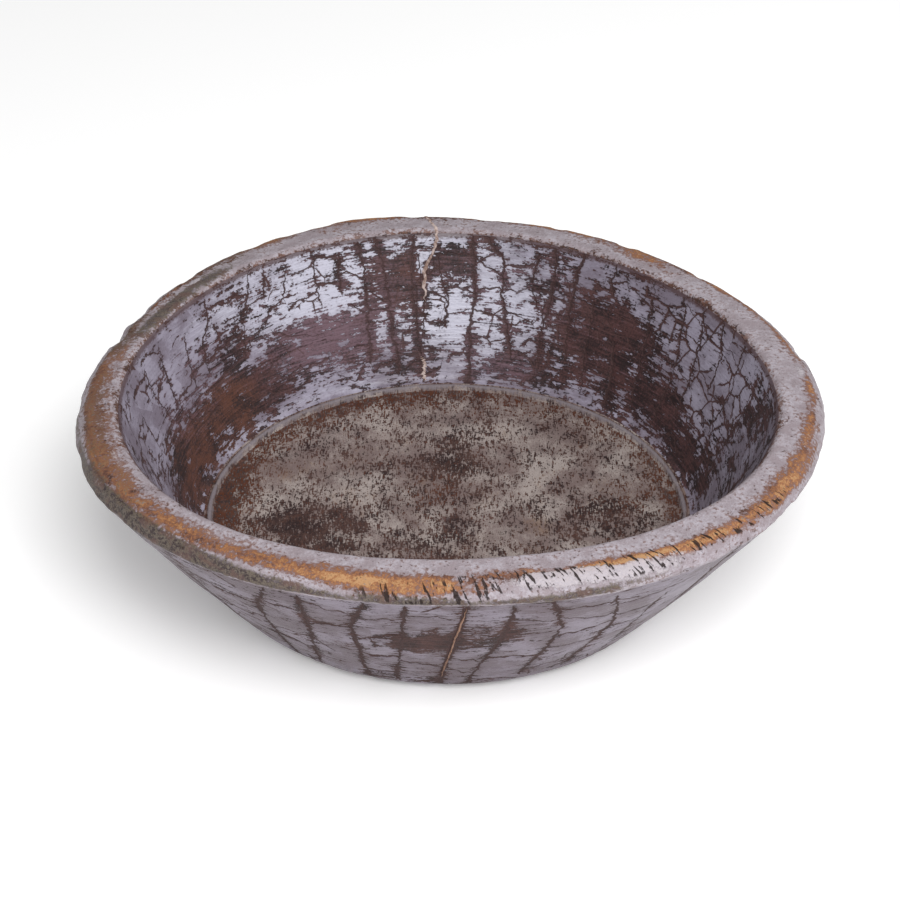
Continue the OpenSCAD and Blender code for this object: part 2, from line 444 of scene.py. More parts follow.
OUTER_CRACKS = (
    Crack(((0.0, 273.5), (0.95, 268.7)), 1.6 * MM, FRONT_CRACK),
    Crack(((0.02, 241.4), (0.28, 236.8), (0.56, 234.5), (0.9, 232.0)), 1.3 * MM),
    Crack(((0.04, 246.6), (0.24, 245.8), (0.49, 244.5), (0.9, 239.1)), 1.5 * MM),
    Crack(((0.02, 257.2), (0.28, 253.7), (0.51, 253.3), (0.96, 250.9)), 1.3 * MM),
    Crack(((0.02, 263.6), (0.35, 262.2), (0.96, 258.0)), 1.3 * MM),
    Crack(((0.04, 280.4), (0.35, 280.0), (0.57, 278.0), (0.92, 274.8)), 1.3 * MM),
    Crack(((0.0, 285.8), (0.12, 287.4), (0.33, 289.8), (0.57, 288.8), (0.86, 286.7)), 1.2 * MM),
    Crack(((0.06, 296.3), (0.43, 300.2), (0.63, 299.1), (0.85, 297.8)), 1.0 * MM),
    Crack(((0.2, 307.3), (0.53, 306.7), (0.86, 307.4)), 0.9 * MM),
)


def cracks_between(first: float, last: float, spacing: float, half: float, seed: int) -> tuple[Crack, ...]:
    """Cracks like the others on a stretch of wall.

    Args:
        first: Angle where the stretch starts, in degrees.
        last: Angle where it ends.
        spacing: Usual spacing of the cracks, in degrees.
        half: Usual half width of a crack.
        seed: Seed of their places.

    Returns:
        The cracks.
    """
    draw = random.Random(seed)
    count = round((last - first) / spacing)
    made = []
    for k in range(1, count):
        middle = first + (last - first) * (k + draw.uniform(-0.25, 0.25)) / count
        top = draw.choice((0.0, 0.02, 0.2))
        bottom = draw.uniform(0.5, 0.98)
        shares = (top, top + (bottom - top) * 0.4, bottom)
        way = tuple((t, middle + draw.uniform(-1.6, 1.6)) for t in shares)
        made.append(Crack(way, half * draw.uniform(0.6, 1.2)))
    return tuple(made)


@dataclass(frozen=True)
class CrackHit:
    """The nearest long crack and rung at a point: signed distances, half widths and how near the two are."""

    split: float
    split_half: float
    rung: float
    rung_half: float
    near: float


class CrackNet:
    """The long cracks of one wall and the short rungs between neighbours."""

    reach = 3.2 * MM
    split_halo = 3.4 * MM
    rung_halo = 1.8 * MM

    def __init__(
        self, cracks: tuple[Crack, ...], length: float, rung_gap: float, rung_half: float, seed: int
    ) -> None:
        """Sets out the rungs.

        Args:
            cracks: The long cracks.
            length: The wall's length, from its upper edge to its lower.
            rung_gap: Usual gap between rungs, as a share of the wall.
            rung_half: Usual half width of a rung.
            seed: Seed of the rungs.
        """
        self.cracks = cracks
        self.length = length
        draw = random.Random(seed)
        self.rungs: list[list[tuple[float, float, float]]] = []
        for _ in cracks:
            level, column = draw.uniform(0.06, 0.24), []
            while level < 0.95:
                half = rung_half * draw.choice((0.0, 0.7, 0.8, 1.0, 1.3))
                column.append((level, draw.uniform(-0.09, 0.09), half))
                level += rung_gap * draw.uniform(0.65, 1.5)
            self.rungs.append(column)

    def row(self, share: float, r: float) -> list[tuple[float, int, float, float]]:
        """The long cracks at one level.

        Args:
            share: Share of the wall from its upper edge.
            r: The wall's radius there.

        Returns:
            (angle, number, half width, cosine of its slope) of each crack, by angle.
        """
        found = []
        for n, crack in enumerate(self.cracks):
            angle = crack.angle_at(share, r) % TURN
            further = turn_between(crack.angle_at(share + 0.02, r), angle) * r
            level = 0.02 * self.length
            found.append((angle, n, crack.half_at(share), level / math.hypot(level, further)))
        return sorted(found)

    def hit(self, row: list[tuple[float, int, float, float]], share: float, a: float, r: float) -> CrackHit:
        """What the cracks do at a share of the wall and an angle.

        Args:
            row: The long cracks at this level, from row().
            share: Share of the wall from its upper edge.
            a: The angle, in radians.
            r: The wall's radius there.

        Returns:
            The distances and half widths there.
        """
        a %= TURN
        i = bisect.bisect_left(row, (a, -1, 0.0, 0.0))
        left, right = row[i - 1], row[i % len(row)]
        from_left = ((a - left[0]) % TURN) * r * left[3]
        to_right = ((right[0] - a) % TURN) * r * right[3]
        split, half = (from_left, left[2]) if from_left <= to_right else (-to_right, right[2])
        strip = (right[0] - left[0]) % TURN
        across = ((a - left[0]) % TURN) / max(strip, 1e-6) - 0.5
        wiggle = 0.035 * noise.noise(Vector((a * 22, left[1] * 3.1, 2.2)))
        rung, rung_half = 1.0, 0.0
        for level, tilt, width in self.rungs[left[1]]:
            gap = (share - level - tilt * across - wiggle) * self.length
            if abs(gap) < abs(rung):
                rung, rung_half = gap, width
        near = max(
            bell(from_left, self.split_halo) * min(1.0, left[2] / MM),
            bell(to_right, self.split_halo) * min(1.0, right[2] / MM),
            bell(rung, self.rung_halo) * min(1.0, rung_half / MM),
        )
        return CrackHit(
            split=max(-FAR, min(FAR, split)),
            split_half=half if abs(split) < self.reach else 0.0,
            rung=max(-FAR, min(FAR, rung)),
            rung_half=rung_half if abs(rung) < self.reach else 0.0,
            near=near,
        )


# Where a chip has ended, in half widths from its middle
CHIP_END = 2.2


@dataclass(frozen=True)
class Chip:
    """A bite out of the rim's outer edge: its angle and half width in degrees, and its depth."""

    angle: float
    half: float
    depth: float


CHIPS = (
    Chip(163, 2.2, 2.2 * MM), Chip(155, 2.6, 1.3 * MM), Chip(141, 2.4, 1.2 * MM), Chip(126, 2.2, 1.1 * MM),
    Chip(117, 3.0, 1.9 * MM), Chip(112, 1.8, 1.6 * MM), Chip(96, 1.4, 0.7 * MM), Chip(83, 1.6, 0.8 * MM),
    Chip(182, 2.2, 0.8 * MM), Chip(196, 2.0, 0.7 * MM), Chip(213, 1.6, 0.7 * MM), Chip(307, 1.0, 1.6 * MM),
    Chip(316, 1.2, 1.2 * MM), Chip(330, 1.0, 0.8 * MM), Chip(12, 1.8, 1.2 * MM), Chip(41, 1.4, 1.1 * MM),
    Chip(57, 1.6, 1.2 * MM), Chip(70, 1.2, 0.9 * MM),
)


# How steeply a patch fades, and where it has ended, in reaches from its middle
PATCH_FALL = 0.9
PATCH_END = 1.8
PATCH_END_SQUARED = 3.2


@dataclass(frozen=True)
class Patch:
    """A soft-edged patch on one zone: where it lies, how far it reaches and what it changes.

    angle and half are in degrees. share and reach run from 0 at the zone's upper or outer edge to 1 at
    its lower or inner one.
    """

    zone: Zone
    tone: Tone
    angle: float
    half: float
    share: float
    reach: float
    amount: float

    def value(self, a: float, share: float) -> float:
        """What the patch adds at an angle, in radians, and a share of the zone."""
        down = (share - self.share) / self.reach
        if abs(down) > PATCH_END:
            return 0.0
        across = turn_between(a, math.radians(self.angle)) / math.radians(self.half)
        distance = across * across + down * down
        if distance >= PATCH_END_SQUARED:
            return 0.0
        return self.amount * math.exp(-PATCH_FALL * distance * distance)


def patches_on(
    zone: Zone, tone: Tone, *rows: tuple[float, float, float, float, float]
) -> tuple[Patch, ...]:
    """Patches of one kind, from rows of (angle, half, share, reach, amount)."""
    return tuple(Patch(zone, tone, *row) for row in rows)


PATCHES = (
    # Inner wall, bare of paint: from the right round the back to the left
    *patches_on(
        Zone.INNER, Tone.WEAR, (358, 7, 0.16, 0.14, 0.26), (10.8, 8, 0.83, 0.16, 0.34),
        (22, 9, 0.84, 0.16, 0.26), (32, 8, 0.72, 0.2, 0.36), (42, 7, 0.42, 0.16, 0.34),
        (53, 8, 0.42, 0.22, 0.5), (46, 10, 0.72, 0.14, 0.3), (62, 6, 0.72, 0.22, 0.24),
        (74, 7, 0.84, 0.1, 0.34), (89, 2.6, 0.2, 0.16, 0.42), (86.5, 2.4, 0.2, 0.08, 0.4),
        (99.6, 2.8, 0.27, 0.18, 0.5), (105, 2.0, 0.24, 0.2, 0.26), (98, 5, 0.78, 0.12, 0.3),
        (112, 9, 0.62, 0.16, 0.3), (124, 8, 0.56, 0.13, 0.28), (135, 8, 0.72, 0.16, 0.34),
        (146, 9, 0.72, 0.2, 0.5), (160, 9, 0.74, 0.2, 0.42), (172, 9, 0.78, 0.26, 0.46),
        (141, 5, 0.4, 0.14, 0.22), (184, 8, 0.86, 0.2, 0.3),
    ),
    # Inner wall, well kept paint
    *patches_on(
        Zone.INNER, Tone.WEAR, (24, 20, 0.24, 0.28, -0.3), (58, 6, 0.08, 0.08, -0.16),
        (88, 6, 0.56, 0.14, -0.26), (80, 6, 0.42, 0.24, -0.16), (90, 5, 0.4, 0.1, -0.16),
        (122, 12, 0.2, 0.24, -0.12), (117, 6, 0.36, 0.12, -0.12), (176, 24, 0.24, 0.24, -0.26),
        (150, 9, 0.14, 0.14, -0.16), (112, 22, 0.94, 0.07, -0.08), (18, 12, 0.56, 0.14, -0.14),
        (72, 8, 0.52, 0.16, -0.08),
    ),
    # Inner wall, a thin film of paint left on the wood
    *patches_on(
        Zone.INNER, Tone.PALE, (112, 13, 0.62, 0.24, 0.36), (124, 12, 0.56, 0.2, 0.36),
        (106, 30, 0.4, 0.6, 0.3), (80, 12, 0.85, 0.14, 0.4), (74, 14, 0.4, 0.4, 0.3),
        (160, 16, 0.4, 0.3, 0.4),
    ),
    *patches_on(
        Zone.INNER, Tone.CHECKS, (24, 20, 0.26, 0.34, 1.0), (14, 12, 0.66, 0.3, 0.7),
        (44, 12, 0.12, 0.2, 0.6), (66, 6, 0.5, 0.4, 0.3),
    ),
    # Inner wall, lighter paint: painted light and sheen over the back wall, which faces the light, and real
    # white paint torn along the floor's edge
    *patches_on(
        Zone.INNER, Tone.BRIGHT, (96, 30, 0.3, 0.5, 0.75), (78, 20, 0.6, 0.3, 0.4),
        (128, 22, 0.2, 0.3, 0.6), (120, 22, 0.95, 0.12, 0.3), (150, 16, 0.9, 0.12, 0.2),
    ),
    *patches_on(
        Zone.INNER, Tone.GRIME, (152, 14, 0.76, 0.26, 0.9), (174, 12, 0.8, 0.3, 0.7),
        (98, 4, 0.3, 0.3, 0.4),
    ),
    # Rim and lip band
    *patches_on(
        Zone.RIM, Tone.OCHRE, (263, 13, 0.3, 0.14, 1.05), (250, 10, 0.37, 0.07, 0.7),
        (235, 9, 0.36, 0.05, 0.55), (216, 10, 0.35, 0.05, 0.6), (200, 7, 0.36, 0.06, 0.7),
        (183, 5, 0.38, 0.06, 0.3), (213, 16, 0.58, 0.18, 0.42), (232, 15, 0.56, 0.16, 0.4),
        (249, 12, 0.52, 0.1, 0.4), (192, 18, 0.64, 0.22, 0.44), (167, 12, 0.64, 0.22, 0.42),
        (308, 9, 0.42, 0.12, 0.8), (325, 11, 0.33, 0.13, 0.66), (338, 10, 0.28, 0.12, 0.58),
        (296, 8, 0.48, 0.06, 0.7), (333, 9, 0.5, 0.14, 0.55), (296.5, 8, 0.52, 0.1, 0.6),
        (280, 7, 0.54, 0.08, 0.5), (349, 5, 0.52, 0.12, 0.5), (359, 4, 0.46, 0.1, 0.5),
        (123, 7, 0.5, 0.12, 0.55), (107, 8, 0.47, 0.14, 0.6), (111, 5, 0.66, 0.08, 0.35),
        (55, 8, 0.56, 0.12, 0.55), (49, 6, 0.7, 0.1, 0.45), (68, 8, 0.46, 0.1, 0.5),
        (36, 10, 0.42, 0.08, 0.4), (18, 8, 0.42, 0.08, 0.4),
    ),
    *patches_on(
        Zone.RIM, Tone.PALE, (284, 6, 0.38, 0.12, 0.75), (291, 8, 0.36, 0.15, 1.0),
        (301, 7, 0.3, 0.15, 1.0), (5, 2.4, 0.52, 0.07, 0.9), (142, 1.8, 0.62, 0.05, 0.9),
        (233, 5, 0.62, 0.06, 0.35), (203, 3, 0.7, 0.06, 0.4),
    ),
    *patches_on(
        Zone.RIM, Tone.GRIME, (207, 10, 0.17, 0.18, 1.1), (218, 11, 0.17, 0.19, 1.2),
        (231, 10, 0.15, 0.16, 1.1), (243, 8, 0.12, 0.11, 0.9), (263, 15, 0.07, 0.09, 1.0),
        (287, 10, 0.07, 0.08, 0.9), (297, 8, 0.15, 0.06, 0.6), (145, 10, 0.78, 0.16, 0.8),
        (157, 9, 0.8, 0.16, 0.9), (135, 9, 0.6, 0.24, 0.4), (162, 8, 0.5, 0.2, 0.6),
        (190, 10, 0.14, 0.12, 0.7), (192, 24, 0.52, 0.26, 0.42), (120, 14, 0.4, 0.2, 0.35),
        (60, 16, 0.38, 0.16, 0.3),
    ),
    *patches_on(
        Zone.RIM, Tone.CHECKS, (282, 11, 0.4, 0.16, 1.0), (301, 14, 0.4, 0.18, 1.0),
        (267, 10, 0.2, 0.16, 1.0), (322, 10, 0.36, 0.12, 0.7),
    ),
    *patches_on(
        Zone.RIM, Tone.WEAR, (265, 36, 0.76, 0.26, -0.34), (5, 30, 0.68, 0.28, -0.34),
        (200, 24, 0.55, 0.2, 0.14), (78, 14, 0.68, 0.2, -0.14), (192, 20, 0.8, 0.2, 0.12),
        (350, 9, 0.86, 0.1, 0.3), (30, 20, 0.9, 0.08, 0.2), (120, 14, 0.76, 0.12, -0.1),
        (138, 10, 0.5, 0.16, 0.1),
    ),
    # Floor, with shares from the bead to the middle
    *patches_on(
        Zone.FLOOR, Tone.WEAR, (192, 22, 0.46, 0.22, 0.3), (300, 60, 0.94, 0.12, 0.3),
        (91, 22, 0.62, 0.16, 0.3), (358, 14, 0.36, 0.16, 0.26), (250, 40, 0.6, 0.3, 0.22),
        (268, 14, 0.4, 0.3, 0.2), (157, 14, 0.32, 0.2, -0.16), (116, 12, 0.42, 0.2, -0.14),
        (30, 20, 0.4, 0.3, -0.16), (238, 30, 0.84, 0.1, -0.14), (335, 26, 0.76, 0.16, -0.14),
        (60, 16, 0.3, 0.2, -0.06), (210, 30, 0.3, 0.2, 0.16),
    ),
    *patches_on(
        Zone.FLOOR, Tone.GRIME, (172, 16, 0.1, 0.12, 0.5), (95, 40, 0.12, 0.1, 0.35),
        (10, 12, 0.2, 0.12, 0.4), (115, 40, 0.84, 0.14, 0.4), (15, 30, 0.07, 0.05, 0.5),
    ),
    # Outer wall
    *patches_on(
        Zone.OUTER, Tone.WEAR, (265, 7, 0.42, 0.12, 0.5), (275, 9, 0.36, 0.1, 0.44),
        (285, 5, 0.28, 0.05, 0.4), (262, 9, 0.85, 0.1, 0.16), (215, 14, 0.1, 0.14, 0.16),
        (120, 20, 0.5, 0.3, 0.2), (30, 18, 0.6, 0.3, 0.16), (246, 6, 0.3, 0.1, 0.14),
        (300, 20, 0.3, 0.3, -0.12), (230, 8, 0.4, 0.3, 0.1),
    ),
)


# ---------------------------------------------------------------------------
# Node work
# ---------------------------------------------------------------------------

Value = float | tuple | bpy.types.NodeSocket


class Bench:
    """A node tree, with short calls for the nodes that the finishes use."""

    def __init__(self, tree: bpy.types.NodeTree) -> None:
        """Keeps the tree that the nodes go into."""
        self.tree = tree

    def add(self, kind: str, **settings: object) -> bpy.types.Node:
        """Adds a node and sets its properties."""
        node = self.tree.nodes.new(kind)
        for name, value in settings.items():
            setattr(node, name, value)
        return node

    def put(self, socket: bpy.types.NodeSocket, value: Value) -> None:
        """Links or sets an input socket."""
        if isinstance(value, bpy.types.NodeSocket):
            self.tree.links.new(value, socket)
        else:
            socket.default_value = value

    def sum(self, op: str, a: Value, b: Value = 0.0) -> bpy.types.NodeSocket:
        """A Math node with two inputs."""
        node = self.add("ShaderNodeMath", operation=op)
        self.put(node.inputs[0], a)
        self.put(node.inputs[1], b)
        return node.outputs[0]

    def total(self, *terms: Value) -> bpy.types.NodeSocket:
        """Sum of several values."""
        out = terms[0]
        for term in terms[1:]:
            out = self.sum("ADD", out, term)
        return out

    def swing(self, value: Value, by: float) -> bpy.types.NodeSocket:
        """A 0 to 1 value turned into a swing of by about zero."""
        return self.sum("MULTIPLY", self.sum("SUBTRACT", value, 0.5), by)

    def weigh(self, *terms: tuple[Value, float]) -> bpy.types.NodeSocket:
        """Sum of values, each times its weight, from rows of (value, weight)."""
        return self.total(*(self.sum("MULTIPLY", value, weight) for value, weight in terms))

    def stir(self, value: Value, *swings: tuple[Value, float]) -> bpy.types.NodeSocket:
        """A value that others swing, from rows of (0 to 1 value, size of its swing)."""
        return self.total(value, *(self.swing(other, by) for other, by in swings))

    def between(
        self, value: Value, low: Value, high: Value, to: tuple[float, float] = (0.0, 1.0)
    ) -> bpy.types.NodeSocket:
        """A soft step from to[0] at low to to[1] at high."""
        node = self.add("ShaderNodeMapRange", interpolation_type="SMOOTHSTEP")
        self.put(node.inputs["Value"], value)
        self.put(node.inputs["From Min"], low)
        self.put(node.inputs["From Max"], high)
        node.inputs["To Min"].default_value, node.inputs["To Max"].default_value = to
        return node.outputs["Result"]

    def mix(self, share: Value, a: Value, b: Value) -> bpy.types.NodeSocket:
        """A colour mix, from a at share 0 to b at 1."""
        node = self.add("ShaderNodeMix", data_type="RGBA", blend_type="MIX")
        self.put(node.inputs["Factor"], share)
        self.put(node.inputs[6], a)
        self.put(node.inputs[7], b)
        return node.outputs[2]

    def vector(self, op: str, a: Value, b: Value) -> bpy.types.NodeSocket:
        """A Vector Math node with two vectors."""
        node = self.add("ShaderNodeVectorMath", operation=op)
        self.put(node.inputs[0], a)
        self.put(node.inputs[1], b)
        return node.outputs[0]

    def attribute(self, name: str) -> bpy.types.NodeSocket:
        """A number that the mesh holds."""
        return self.add("ShaderNodeAttribute", attribute_name=name).outputs["Fac"]

    def group(self, tree: bpy.types.NodeTree, **values: Value) -> bpy.types.Node:
        """Places a node group and fills its inputs. An underscore in a name stands for a space."""
        node = self.add("ShaderNodeGroup", node_tree=tree)
        for name, value in values.items():
            self.put(node.inputs[name.replace("_", " ")], value)
        return node

    def bump(self, height: Value) -> bpy.types.NodeSocket:
        """A bump whose height is in metres."""
        node = self.add("ShaderNodeBump")
        node.inputs["Strength"].default_value = 1.0
        node.inputs["Distance"].default_value = 1.0
        self.put(node.inputs["Height"], height)
        return node.outputs["Normal"]


Sockets = dict[str, tuple[str, object]]


def start_group(
    name: str, inputs: Sockets, outputs: dict[str, str]
) -> tuple[Bench, bpy.types.Node, bpy.types.Node]:
    """Starts a shader node group.

    Args:
        name: The group's name.
        inputs: Input name to (socket type, default value).
        outputs: Output name to socket type.

    Returns:
        The bench for its tree, its input node and its output node.
    """
    tree = bpy.data.node_groups.new(name, "ShaderNodeTree")
    for label, (kind, value) in inputs.items():
        socket = tree.interface.new_socket(label, in_out="INPUT", socket_type=kind)
        socket.default_value = value
    for label, kind in outputs.items():
        tree.interface.new_socket(label, in_out="OUTPUT", socket_type=kind)
    bench = Bench(tree)
    return bench, bench.add("NodeGroupInput"), bench.add("NodeGroupOutput")


FLOAT, COLOUR, VECTOR = "NodeSocketFloat", "NodeSocketColor", "NodeSocketVector"


class WoodGroups:
    """The shader node groups that the bowl's and the filler's finishes share."""

    def __init__(self) -> None:
        """Builds each group once."""
        self.grain = self.grain_field()
        self.plates = self.plate_cracks()
        self.split = self.long_split()
        self.timber = self.bare_timber()
        self.coat = self.worn_coat()

    def cloud(
        self, b: Bench, place: Value, size: Value, detail: float, shift: float = 0.0
    ) -> bpy.types.NodeSocket:
        """Noise from 0 to 1 whose features have a size along each axis.

        Args:
            b: The bench that it stands on.
            place: The point that it is read at.
            size: Size of its features along X, Y and Z, in metres.
            detail: How many finer layers it has.
            shift: Moves it, so that two clouds of one size differ.

        Returns:
            The value.
        """
        return b.group(self.grain, Place=place, Size=size, Detail=detail, Shift=shift).outputs["Value"]

    def grain_field(self) -> bpy.types.NodeTree:
        """Noise whose features have a stated size along each axis."""
        inputs = {
            "Place": (VECTOR, (0, 0, 0)), "Size": (VECTOR, (0.01, 0.01, 0.01)), "Detail": (FLOAT, 4.0),
            "Shift": (FLOAT, 0.0),
        }
        b, i, o = start_group("Grain field", inputs, {"Value": FLOAT})
        shifted = b.vector(
            "ADD", b.vector("DIVIDE", i.outputs["Place"], i.outputs["Size"]), i.outputs["Shift"]
        )
        cloud = b.add("ShaderNodeTexNoise", noise_dimensions="3D")
        b.put(cloud.inputs["Vector"], shifted)
        cloud.inputs["Scale"].default_value = 1.0
        cloud.inputs["Roughness"].default_value = 0.58
        b.put(cloud.inputs["Detail"], i.outputs["Detail"])
        b.put(o.inputs["Value"], b.between(cloud.outputs["Fac"], 0.22, 0.78))
        return b.tree

    def plate_cracks(self) -> bpy.types.NodeTree:
        """Network of drying cracks that divides the coat into plates."""
        inputs = {
            "Sheet": (VECTOR, (0, 0, 0)), "Place": (VECTOR, (0, 0, 0)),
            "Plate": (VECTOR, (0.02, 0.02, 1.0)), "Line": (FLOAT, 0.05), "Wander": (FLOAT, 0.004),
            "Gaps": (FLOAT, 0.3),
        }
        b, i, o = start_group("Plate cracks", inputs, {"Crack": FLOAT, "Near": FLOAT, "Tint": FLOAT})
        drift = b.add("ShaderNodeTexNoise", noise_dimensions="3D")
        b.put(drift.inputs["Vector"], i.outputs["Place"])
        drift.inputs["Scale"].default_value = 90.0
        drift.inputs["Detail"].default_value = 3.0
        pushed = b.vector(
            "MULTIPLY", b.vector("SUBTRACT", drift.outputs["Color"], (0.5, 0.5, 0.5)), i.outputs["Wander"]
        )
        lattice = b.vector("DIVIDE", b.vector("ADD", i.outputs["Sheet"], pushed), i.outputs["Plate"])
        edge = b.add("ShaderNodeTexVoronoi", voronoi_dimensions="2D", feature="DISTANCE_TO_EDGE")
        cell = b.add("ShaderNodeTexVoronoi", voronoi_dimensions="2D", feature="F1")
        for web in (edge, cell):
            b.put(web.inputs["Vector"], lattice)
            web.inputs["Scale"].default_value = 1.0
            web.inputs["Randomness"].default_value = 0.86
        thin = self.cloud(b, i.outputs["Place"], (0.0035, 0.0035, 0.0035), 3.0)
        slow = self.cloud(b, i.outputs["Place"], (0.022, 0.022, 0.016), 2.0, 7.0)
        show = b.between(slow, b.sum("SUBTRACT", i.outputs["Gaps"], 0.22), i.outputs["Gaps"])
        width = b.sum("MULTIPLY", i.outputs["Line"], b.sum("MULTIPLY", show, b.total(thin, 0.45)))
        distance = edge.outputs["Distance"]
        b.put(o.inputs["Crack"], b.between(distance, width, b.sum("MULTIPLY", width, 0.5)))
        near = b.between(distance, b.sum("MULTIPLY", i.outputs["Line"], 3.5), 0.0)
        b.put(o.inputs["Near"], b.sum("MULTIPLY", near, show))
        apart = b.add("ShaderNodeSeparateColor")
        b.put(apart.inputs[0], cell.outputs["Color"])
        b.put(o.inputs["Tint"], apart.outputs[0])
        return b.tree

    def long_split(self) -> bpy.types.NodeTree:
        """A long crack from the distance to its middle and its half width, with ragged sides."""
        inputs = {
            "Place": (VECTOR, (0, 0, 0)), "Distance": (FLOAT, 1.0), "Half": (FLOAT, 0.0),
            "Ragged": (FLOAT, 0.0026),
        }
        b, i, o = start_group("Long split", inputs, {"Crack": FLOAT, "Core": FLOAT})
        torn = self.cloud(b, i.outputs["Place"], (0.005, 0.005, 0.003), 5.0, 3.0)
        push = b.sum("MULTIPLY", b.sum("SUBTRACT", torn, 0.5), i.outputs["Ragged"])
        half = b.sum("MAXIMUM", i.outputs["Half"], 0.00005)
        ratio = b.sum("DIVIDE", b.sum("ABSOLUTE", b.sum("ADD", i.outputs["Distance"], push)), half)
        there = b.between(i.outputs["Half"], 0.00015, 0.0005)
        b.put(o.inputs["Crack"], b.sum("MULTIPLY", b.between(ratio, 1.25, 0.8), there))
        b.put(o.inputs["Core"], b.sum("MULTIPLY", b.between(ratio, 0.55, 0.15), there))
        return b.tree

    def bare_timber(self) -> bpy.types.NodeTree:
        """Old bare wood: dark and warm tones drawn out along the grain, with fine specks."""
        inputs = {
            "Place": (VECTOR, (0, 0, 0)), "Fibre": (VECTOR, (0.02, 0.02, 0.002)),
            "Dark": (COLOUR, (0.03, 0.02, 0.02, 1)), "Warm": (COLOUR, (0.1, 0.06, 0.05, 1)),
            "Warmth": (FLOAT, 0.5),
        }
        b, i, o = start_group("Bare timber", inputs, {"Color": COLOUR, "Height": FLOAT})
        fibre = self.cloud(b, i.outputs["Place"], i.outputs["Fibre"], 5.0, 11.0)
        cloud = self.cloud(b, i.outputs["Place"], (0.016, 0.016, 0.012), 4.0, 5.0)
        speck = self.cloud(b, i.outputs["Place"], (0.0011, 0.0011, 0.0011), 3.0, 13.0)
        swings = [b.swing(fibre, 0.6), b.swing(cloud, 0.8), b.swing(speck, 0.7)]
        warm = b.total(i.outputs["Warmth"], *swings)
        b.put(o.inputs["Color"], b.mix(b.between(warm, 0.0, 1.0), i.outputs["Dark"], i.outputs["Warm"]))
        b.put(o.inputs["Height"], fibre)
        return b.tree

    def worn_coat(self) -> bpy.types.NodeTree:
        """Where the paint is left: worn from patches and cracks, and torn along the scraper's strokes."""
        inputs = {
            "Place": (VECTOR, (0, 0, 0)), "Wear": (FLOAT, 0.3), "Near": (FLOAT, 0.0),
            "Stroke": (VECTOR, (0.02, 0.02, 0.0015)), "Flake": (VECTOR, (0.005, 0.005, 0.002)),
            "Streaks": (FLOAT, 0.5), "Flakes": (FLOAT, 0.5), "Blotches": (FLOAT, 0.6),
            "Specks": (FLOAT, 0.3), "Edge": (FLOAT, 0.05),
        }
        b, i, o = start_group(
            "Worn coat", inputs, {"Coat": FLOAT, "Thin": FLOAT, "Stroke": FLOAT, "Fleck": FLOAT}
        )
        place = i.outputs["Place"]
        stroke = self.cloud(b, place, i.outputs["Stroke"], 3.0, 2.0)
        flake = self.cloud(b, place, i.outputs["Flake"], 4.0, 17.0)
        blotch = self.cloud(b, place, (0.014, 0.014, 0.010), 5.0, 8.0)
        speck = self.cloud(b, place, (0.0016, 0.0016, 0.0011), 3.0, 4.0)
        parts = []
        for value, name in (
            (stroke, "Streaks"), (flake, "Flakes"), (blotch, "Blotches"), (speck, "Specks")
        ):
            parts.append(b.sum("MULTIPLY", b.sum("SUBTRACT", value, 0.5), i.outputs[name]))
        lost = b.total(i.outputs["Wear"], b.sum("MULTIPLY", i.outputs["Near"], 0.42), *parts)
        low = b.sum("SUBTRACT", 0.5, i.outputs["Edge"])
        high = b.sum("ADD", 0.5, i.outputs["Edge"])
        b.put(o.inputs["Coat"], b.between(lost, high, low))
        b.put(o.inputs["Thin"], b.between(lost, 0.1, 0.5))
        b.put(o.inputs["Stroke"], stroke)
        b.put(o.inputs["Fleck"], speck)
        return b.tree


def start_material(name: str) -> tuple[Bench, bpy.types.Node, bpy.types.Material]:
    """A new material with an empty tree, its Principled BSDF and its output."""
    made = bpy.data.materials.new(name)
    made.use_nodes = True
    made.node_tree.nodes.clear()
    bench = Bench(made.node_tree)
    shader = bench.add("ShaderNodeBsdfPrincipled")
    bench.put(bench.add("ShaderNodeOutputMaterial").inputs["Surface"], shader.outputs["BSDF"])
    return bench, shader, made


def rgb(r: float, g: float, b: float) -> tuple[float, float, float, float]:
    """A colour from display values of 0 to 255, as the linear colour that a shader takes."""
    def line(c: float) -> float:
        """One channel, from display to linear."""
        c /= 255
        return c / 12.92 if c <= 0.04045 else ((c + 0.055) / 1.055) ** 2.4
    return (line(r), line(g), line(b), 1.0)


